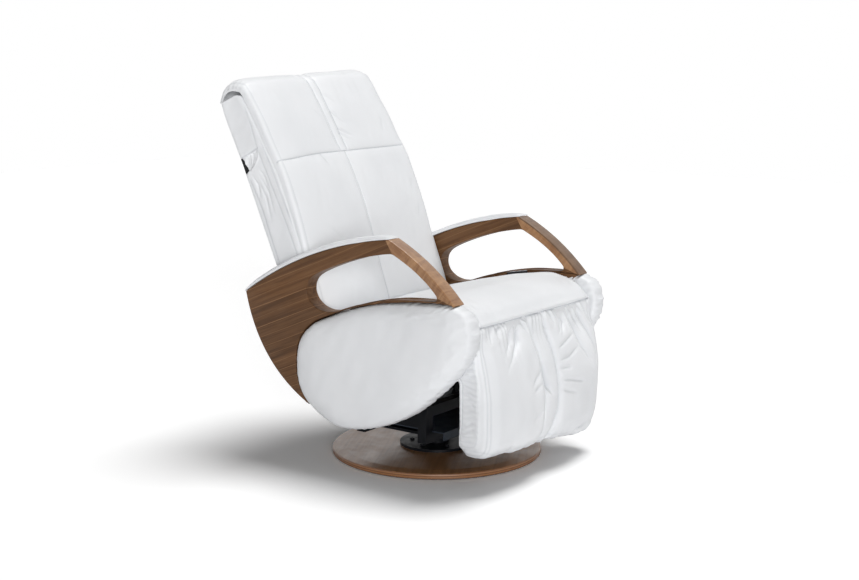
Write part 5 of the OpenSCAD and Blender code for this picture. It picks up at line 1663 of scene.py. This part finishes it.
@dataclass
class ArmFrame:
    """Outlines of an arm in the plane of Y and Z.

    Attributes:
        corner: Lowest Y and Z of the arm, whose length and height are its size.
        inner: Distance of its inner face from the chair's middle plane.
        thick: Thickness of its rails.
        panel: Thickness of the panel behind the side pad.
        facing: Thickness of the strut's facing.
        round: Radius of its rims.
        groove: Width of the groove round the side pad.
        opening: The window, as shares of its size.
    """

    corner: tuple = (-0.307, 0.181)
    size: tuple = (0.745, 0.498)
    inner: float = 0.302
    thick: float = 0.048
    panel: float = 0.02
    facing: float = 0.005
    round: float = 0.003
    groove: float = 0.0048
    opening: tuple = (
        (0.0765, 0.711), (0.083, 0.729), (0.124, 0.786), (0.176, 0.842), (0.224, 0.884), (0.261, 0.912),
        (0.273, 0.92), (0.288, 0.9215), (0.33, 0.912), (0.4, 0.89), (0.464, 0.864), (0.525, 0.834), (0.58, 0.803),
        (0.63, 0.77), (0.661, 0.743), (0.679, 0.713), (0.686, 0.678), (0.684, 0.642), (0.669, 0.604), (0.64, 0.573),
        (0.612, 0.56), (0.586, 0.556), (0.548, 0.563), (0.495, 0.589), (0.427, 0.619), (0.31, 0.655), (0.197, 0.678),
        (0.115, 0.688), (0.088, 0.693), (0.077, 0.701))

    def at(self, share: Sequence[float]) -> Array:
        """Point at shares of the arm's length and height."""
        return np.array(self.corner) + np.array(share) * np.array(self.size)

    def strut(self, steps: int = 40) -> Array:
        """Front line of the strut, from the tip to the top."""
        tip, top = self.at((0, 0.681)), self.at((0.289, 1))
        return np.concatenate([bowed(tip, top, 0.018 * self.size[0], steps), top[None]])

    def top(self, steps: int = 60) -> Array:
        """Top line of the arm, from its top to its rear corner."""
        top, rear = self.at((0.289, 1)), self.at((1, 0.613))
        return np.concatenate([bowed(top, rear, 0.045 * self.size[0], steps), rear[None]])

    def outline(self) -> Array:
        """The whole outline, before the side pad's place is cut from it."""
        rear, foot = self.at((1, 0.613)), self.at((0.683, 0))
        heel = bowed(rear, foot, 0.062 * self.size[0], 40)
        return np.concatenate([self.strut()[:-1], self.top()[:-1], heel, foot[None]])

    def window(self) -> Array:
        """The window: one closed smooth curve, blunt at its rear and tight at its two front corners."""
        return spline([self.at(share) for share in self.opening], 220, closed=True)


def within(points: Array, polygon: Array) -> Array:
    """Whether points lie in a polygon: an upward ray meets its edges an odd number of times.

    Args:
        points: Flat points.
        polygon: Its corners in order.

    Returns:
        True for each point inside.
    """
    a, b = polygon, np.roll(polygon, -1, 0)
    x, y = points[:, :1], points[:, 1:]
    spans = (a[None, :, 0] > x) != (b[None, :, 0] > x)
    run = np.where(np.abs(b[:, 0] - a[:, 0]) < 1e-12, 1e-12, b[:, 0] - a[:, 0])
    height = a[None, :, 1] + (x - a[None, :, 0]) / run * (b[:, 1] - a[:, 1])
    return (spans & (height > y)).sum(1) % 2 == 1


def plate(name: str, loops: Sequence[Array], low: float, high: float, bevel: float, side: Side) -> Mesh:
    """A plate in the plane of Y and Z with rounded rims.

    A flat curve of the loops is filled, thickened and bevelled inside its outline, then made a mesh and
    turned so that its thickness runs along X.

    Args:
        name: Name of the mesh.
        loops: The outline and its holes, in Y and Z.
        low: Distance of its inner face from the chair's middle plane.
        high: Distance of its outer face.
        bevel: Radius of its rims.
        side: The side of the chair that it is on.

    Returns:
        The mesh.
    """
    curve = bpy.data.curves.new(name, "CURVE")
    curve.dimensions, curve.fill_mode = "2D", "BOTH"
    curve.extrude = (high - low) / 2 - bevel
    curve.bevel_depth, curve.offset, curve.bevel_resolution = bevel, -bevel, 3
    for loop in loops:
        line = curve.splines.new("POLY")
        line.points.add(len(loop) - 1)
        line.points.foreach_set("co", np.concatenate([loop, np.zeros((len(loop), 1)), np.ones((len(loop), 1))], 1)
                                .astype(np.float32).reshape(-1))
        line.use_cyclic_u = True
    holder = linked(name + "_curve", curve)
    flat = bpy.data.meshes.new_from_object(holder.evaluated_get(bpy.context.evaluated_depsgraph_get()))
    bpy.data.objects.remove(holder)
    co = np.zeros(len(flat.vertices) * 3, np.float32)
    flat.vertices.foreach_get("co", co)
    co = co.reshape(-1, 3)
    co = np.stack([side.value * ((low + high) / 2 + co[:, 2]), co[:, 0], co[:, 1]], -1)
    flat.vertices.foreach_set("co", np.ascontiguousarray(co).reshape(-1))
    flat.name = name
    return outward(flat)


def joined(name: str, meshes: Sequence[Mesh]) -> Mesh:
    """One mesh of several.

    Args:
        name: Its name.
        meshes: The meshes.

    Returns:
        The mesh, with smooth faces.
    """
    bm = bmesh.new()
    for mesh in meshes:
        bm.from_mesh(mesh)
    whole = bpy.data.meshes.new(name)
    bm.to_mesh(whole)
    bm.free()
    whole.shade_smooth()
    return whole


@dataclass
class Arm:
    """A walnut arm with its window, its facing and the padded strip on its top.

    Attributes:
        pad_thick: Thickness of the padded strip at its middle.
        pad_rows: Number of rows along the strip.
        pad_run: Length of the strip.
        keypad_tilt: Turn of the keypad's pocket about X, in degrees.
        pocket_low: Lowest corner of the pocket from the middle of the keypad, before it is turned.
        pocket_high: Highest corner of the pocket.
    """

    side: Side
    shape: ArmFrame = field(default_factory=ArmFrame)
    pad_thick: float = 0.014
    pad_rows: int = 180
    pad_run: float = 0.58
    keypad_tilt: float = -9.0
    pocket_low: Vec3 = (-0.018, -0.0394, -0.0065)
    pocket_high: Vec3 = (0.0134, 0.0394, 0.06)

    def frame_loop(self) -> Array:
        """The outline of the thick part: the arm's own outline, closed along the side pad's place.

        Returns:
            The points of the closed line.
        """
        s = self.shape
        outline = s.outline()
        ring = SidePad(self.side).ring(420, s.groove)
        inside = within(ring, outline)
        start = int(np.flatnonzero(inside & ~np.roll(inside, 1))[0])
        run = np.roll(ring, -start, 0)[: int(inside.sum())]
        if np.linalg.norm(run[0] - outline[-1]) > np.linalg.norm(run[-1] - outline[-1]):
            run = run[::-1]
        keep = (np.linalg.norm(run - outline[-1], axis=1) > 0.006) & (np.linalg.norm(run - outline[0], axis=1) > 0.008)
        front = s.strut()
        way = front[-1] - front[0]
        out = np.array([-way[1], way[0]]) / np.linalg.norm(way)
        outline[: len(front)] -= out * (s.facing - s.round)
        return np.concatenate([outline, run[keep]])

    def build(self, finishes: Finishes) -> None:
        """The arm, its facing and its pad.

        Args:
            finishes: The shared finishes.
        """
        s, word = self.shape, self.side.word
        thick = plate("arm_frame", [self.frame_loop(), s.window()], s.inner, s.inner + s.thick, s.round, self.side)
        ring = SidePad(self.side).ring(300)
        inside = within(ring, s.outline())
        grown = SidePad(self.side).ring(300, 0.003)
        middle = ring.mean(0)
        shrunk = middle + (ring - middle) * (1 - 0.09 * SidePad.wrap(ring))[:, None]
        panel = plate("arm_panel", [np.where(inside[:, None], grown, shrunk)], s.inner + 0.0002, s.inner + s.panel,
                      0.001, self.side)
        if self.side is Side.LEFT:
            thick, panel = self.pocket(thick), self.pocket(panel)
        mesh = joined(f"arm_walnut_{word}", [self.mitred(thick), panel])
        mesh.materials.append(finishes.arm)
        self.strut_faces(mesh)
        piece = placed(f"arm_walnut_{word}", sharp_at(mesh, 28), finishes.facing, [f"arm_{word}"])
        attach(piece, "chair")
        self.front_facing(finishes)
        self.top_pad(finishes)

    def lines(self) -> tuple[tuple[Array, Array], tuple[Array, Array]]:
        """The mitre between the top rail and the strut, and the joint between the strut and the lower rail.

        Returns:
            Two points in Y and Z for each of the two lines.
        """
        s = self.shape
        mitre = (np.array([-0.08, 0.6782]), s.at((0.279, 0.924)) + np.array([-0.003, 0.001]))
        joint = (s.at((0.078, 0.716)), s.at((0.0, 0.674)))
        return mitre, joint

    def mitred(self, mesh: Mesh) -> Mesh:
        """Cuts the faces along the two joint lines of the strut.

        Args:
            mesh: The arm's thick part.

        Returns:
            The same mesh.
        """
        bm = bmesh.new()
        bm.from_mesh(mesh)
        for a, b in self.lines():
            way = b - a
            bmesh.ops.bisect_plane(bm, geom=bm.verts[:] + bm.edges[:] + bm.faces[:], dist=1e-6,
                                   plane_co=(0, a[0], a[1]), plane_no=(0, -way[1], way[0]))
        bm.to_mesh(mesh)
        bm.free()
        return mesh

    def strut_faces(self, mesh: Mesh) -> None:
        """Gives the second material to the faces of the strut.

        Args:
            mesh: The arm's mesh.
        """
        middle = np.zeros(len(mesh.polygons) * 3, np.float32)
        mesh.polygons.foreach_get("center", middle)
        p = middle.reshape(-1, 3)[:, 1:]
        index = np.ones(len(p), bool)
        inside = self.shape.at((0.14, 0.85))
        for a, b in self.lines():
            way = b - a
            n = np.array([-way[1], way[0]])
            index &= ((p - a) @ n) * ((inside - a) @ n) > 0
        mesh.polygons.foreach_set("material_index", index.astype(np.int32))

    def pocket(self, mesh: Mesh) -> Mesh:
        """Cuts the keypad's pocket into a plate with an exact difference of a turned block.

        Args:
            mesh: The plate.

        Returns:
            A new mesh with the pocket in it.
        """
        low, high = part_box("keypad_panel")
        mid = (low + high) / 2
        c, s = turned(self.keypad_tilt)
        across, along, up = zip(self.pocket_low, self.pocket_high)
        corners = np.array([(x, y, z) for x in across for y in along for z in up])
        y, z = corners[:, 1] * c - corners[:, 2] * s, corners[:, 1] * s + corners[:, 2] * c
        points = np.stack([corners[:, 0] + mid.x, y + mid.y, z + mid.z - 0.0015], -1)
        index, quads = skin_of((2, 2, 2))
        order = index @ np.array([4, 2, 1])
        block = linked("block", mesh_of("block", points[order], facing_out(points[order], quads)))
        piece = linked("plate", mesh)
        cut = piece.modifiers.new("pocket", "BOOLEAN")
        cut.operation, cut.solver, cut.object, cut.use_self = "DIFFERENCE", "EXACT", block, True
        bpy.context.view_layer.update()
        done = bpy.data.meshes.new_from_object(piece.evaluated_get(bpy.context.evaluated_depsgraph_get()))
        for made in (block, piece):
            bpy.data.objects.remove(made)
        return done

    def front_facing(self, finishes: Finishes) -> None:
        """The strut's facing: a rounded section carried along the strut's bowed front line.

        Args:
            finishes: The shared finishes.
        """
        s = self.shape
        line = s.strut(80)
        out = left_of(line)
        turn = np.linspace(0, np.pi / 2, 7)
        low, high, r = s.inner, s.inner + s.thick, s.round
        x = np.concatenate([[low], low + r - r * np.cos(turn), high - r + r * np.sin(turn), [high]])
        d = np.concatenate([[-s.facing], -r + r * np.sin(turn), -r + r * np.cos(turn), [-s.facing]])
        flat = line[:, None] + out[:, None] * d[None, :, None]
        points = np.concatenate([np.broadcast_to(self.side.value * x, flat.shape[:2])[..., None], flat], -1)
        mesh = outward(tube(f"arm_facing_{self.side.word}", points))
        # The far arm's facing gets the darker copy: painted shade.
        finish = finishes.facing_far if self.side is Side.LEFT else finishes.facing
        piece = placed(f"arm_front_veneer_{self.side.word}", sharp_at(mesh, 35), finish,
                       [f"arm_facing_{self.side.word}"])
        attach(piece, "chair")

    def top_pad(self, finishes: Finishes) -> None:
        """The padded strip: a flat cushion over the top line, thickest in its middle and thin at both ends.

        Args:
            finishes: The shared finishes.
        """
        s, rows = self.shape, self.pad_rows
        line = spline(s.top()[::4], rows)
        out = left_of(line)
        half = s.thick / 2 + 0.002
        a = crowded(-half, half, 44, (-half, half), 0.006, 2.5)

        def place(x: Array, row: Array, c: Array) -> Array:
            """Points of the skin at x, on a row, from 0 inside to 1 outside."""
            p, n = read_line(line, row), read_line(out, row)
            t = row / (rows - 1)
            ends = np.minimum(t, 1 - t) * self.pad_run
            full = self.pad_thick * (0.3 + 0.7 * np.clip(1 - np.abs(2 * t - 1) ** 5, 0, 1) ** 0.6)
            crown = full * (0.42 + 0.58 * np.clip(1 - (np.abs(x) / half) ** 2.6, 0, 1) ** 0.55)
            thick = np.maximum(crown - np.minimum(shrink(ends, 0.004), 0.0035), 0.0012)
            q = p + n * (0.0009 + thick * c)[:, None]
            return np.concatenate([(self.side.value * (s.inner + s.thick / 2 + x))[:, None], q], 1)

        block = Block(a, np.arange(rows).astype(float), np.linspace(0, 1, 6)).shape(place)
        x, row, c = block.values()
        outer = smooth(0.5, 1, c)
        run = row / (rows - 1) * self.pad_run
        soft = 0.0006 * ripple(run, x * 1.5, 51, 0.1, 3)
        seam = stripe(np.abs(x), half - 0.004, 0.0012) * outer
        block.push(outer * soft - 0.0007 * seam)
        name = f"arm_pad_leather_{self.side.word}"
        # Painted shade in the seams along both edges.
        piece = placed(name, sharp_at(block.mesh(name, 0.5 * seam), 60), finishes.leather,
                       [f"arm_pad_{self.side.word}"])
        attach(piece, "chair")


# Hard nodes, camera, light


class HardParts:
    """Finishes of the CAD nodes that stay as they are."""

    def __init__(self, finishes: Finishes) -> None:
        """Groups the nodes by finish.

        Args:
            finishes: The shared finishes.
        """
        f = finishes
        self.groups: tuple[tuple[Material, tuple[str, ...]], ...] = (
            (f.felt, ("base_mat",)),
            (f.disc, ("base_disc",)),
            (f.black, ("base_bolts", "base_column", "swivel_plate", "chassis_frame", "chassis_side_plates", "leg_frame",
                       "back_frame")),
            (f.slate, ("chassis_tray",)),
            (f.steel, ("swivel_spindle", "arm_bolts", "back_hinge_pins", "leg_hinge_pins", "guide_rails",
                       "lead_screw", "back_actuator_rod", "leg_actuator_rod")),
            (f.bronze, ("thrust_ring",)),
            (f.ivory, ("swivel_bush", "roller_right_upper", "roller_right_lower", "roller_left_upper",
                       "roller_left_lower", "roller_arm_right", "roller_arm_left")),
            (f.grey, ("carriage", "back_actuator", "leg_actuator")),
            (f.plastic, ("control_box", "mains_inlet", "keypad_panel", "back_shell", "screw_motor")),
            (f.key, ("key_recline", "key_leg_rest", "key_massage")),
            (f.plywood, ("seat_board",)),
            (f.ply_side, ("side_board_right", "side_board_left")),
            (f.ply_leg, ("leg_board",)),
        )

    def dress(self) -> None:
        """Puts each finish into every slot of its nodes."""
        for material, names in self.groups:
            for name in names:
                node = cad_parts[name]
                if not node.data.materials:
                    node.data.materials.append(material)
                for k in range(len(node.material_slots)):
                    node.material_slots[k].material = material
        LOG.info("dressed %d hard nodes", sum(len(names) for _, names in self.groups))


@dataclass(frozen=True)
class Studio:
    """Camera, soft lights, pale floor and white surroundings.

    Attributes:
        eye: Place of the camera.
        aim: Point that it looks at.
        lens: Focal length in millimetres on a sensor 36 mm wide.
        key: Strength of the wide sun from nearly overhead.
        fill: Strength of the low sun from the front right of the sitter.
        world: Strength of the sky on the object.
        white: Colour of the floor where the camera sees it.
        key_way: Direction that the wide sun shines in.
        key_angle: Its width in degrees.
        fill_way: Direction that the low sun shines in.
        fill_angle: Its width in degrees.
        floor_half: Half the width of the floor.
    """

    eye: Vec3 = (-3.3051, -2.3789, 1.1839)
    aim: Vec3 = (-0.0075, 0.0217, 0.4835)
    lens: float = 58.79
    key: float = 2.2
    fill: float = 2.5
    world: float = 0.12
    white: float = 1.17
    key_way: Vec3 = (-0.28, 0.02, -0.96)
    key_angle: float = 26.0
    fill_way: Vec3 = (0.72, 0.66, -0.09)
    fill_angle: float = 30.0
    floor_half: float = 9.0

    def camera(self) -> None:
        """Makes the camera and turns it to its aim."""
        data = bpy.data.cameras.new("camera")
        data.lens, data.sensor_width, data.sensor_fit = self.lens, 36.0, "HORIZONTAL"
        data.clip_start, data.clip_end = 0.05, 60.0
        camera = linked("camera", data)
        way = Vector(self.aim) - Vector(self.eye)
        camera.location = self.eye
        camera.rotation_euler = way.to_track_quat("-Z", "Y").to_euler()
        bpy.context.scene.camera = camera

    def sun(self, name: str, strength: float, way: Vec3, angle: float) -> None:
        """A sun that shines along a direction, as wide as an angle.

        Args:
            name: Its name.
            strength: Its strength.
            way: The direction.
            angle: The angle in degrees.
        """
        data = bpy.data.lights.new(name, "SUN")
        data.energy, data.angle = strength, math.radians(angle)
        linked(name, data).rotation_euler = Vector(way).to_track_quat("-Z", "Y").to_euler()

    def surroundings(self) -> None:
        """World that is white where the camera, a reflection or a refraction sees it, and softer as light."""
        world = bpy.data.worlds.new("studio")
        bpy.context.scene.world = world
        world.use_nodes = True
        tree = world.node_tree
        path = tree.nodes.new("ShaderNodeLightPath")
        seen = path.outputs["Is Camera Ray"]
        for name in ("Is Glossy Ray", "Is Transmission Ray"):
            most = tree.nodes.new("ShaderNodeMath")
            most.operation = "MAXIMUM"
            tree.links.new(seen, most.inputs[0])
            tree.links.new(path.outputs[name], most.inputs[1])
            seen = most.outputs[0]
        strength = tree.nodes.new("ShaderNodeMapRange")
        strength.inputs["To Min"].default_value, strength.inputs["To Max"].default_value = self.world, 1.0
        tree.links.new(seen, strength.inputs["Value"])
        back = tree.nodes["Background"]
        back.inputs["Color"].default_value = (1, 1, 1, 1)
        tree.links.new(strength.outputs["Result"], back.inputs["Strength"])

    def floor(self) -> None:
        """Pale floor that keeps the shadow, with a paler colour where the camera or a reflection sees it."""
        size = self.floor_half
        corners = np.array([(-size, -size), (size, -size), (size, size), (-size, size)])
        points = np.concatenate([corners, np.full((4, 1), -0.0004)], 1)
        mesh = mesh_of("floor", points, np.array([[0, 1, 2, 3]]))
        n = Nodes("floor_pale")
        haze = n.noise(n.place(), 3.0, 3)
        n.finish(Base_Color=n.mix(n.span(haze, 0.3, 0.7), (0.82, 0.82, 0.83), (0.8, 0.8, 0.81)), Roughness=0.9,
                 Specular_IOR_Level=0.1)
        path = n.add("LightPath")
        seen = n.math("MAXIMUM", path.outputs["Is Camera Ray"], path.outputs["Is Glossy Ray"])
        pale = n.add("BsdfDiffuse", {"Color": (self.white, self.white, self.white)})
        both = n.add("MixShader", {0: seen, 1: n.shader.outputs[0], 2: pale.outputs[0]})
        n.tree.links.new(both.outputs[0], n.tree.nodes["Material Output"].inputs["Surface"])
        mesh.materials.append(n.material)
        floor = linked("floor", mesh)

    def build(self) -> None:
        """Sets up the whole studio."""
        bpy.context.scene.view_settings.view_transform = "Standard"
        self.camera()
        self.sun("key", self.key, self.key_way, self.key_angle)
        self.sun("fill", self.fill, self.fill_way, self.fill_angle)
        self.surroundings()
        self.floor()


def main() -> None:
    """Builds the studio and the chair."""
    logging.basicConfig(level=logging.INFO, format="%(name)s: %(message)s")
    Studio().build()
    finishes = Finishes()
    HardParts(finishes).dress()
    SeatCushion().build(finishes)
    LegCover().build(finishes)
    BackBody().build(finishes)
    BackOverlay().build(finishes)
    for side in Side:
        Arm(side).build(finishes)
        SidePad(side).build(finishes)


if __name__ == "__main__":
    main()
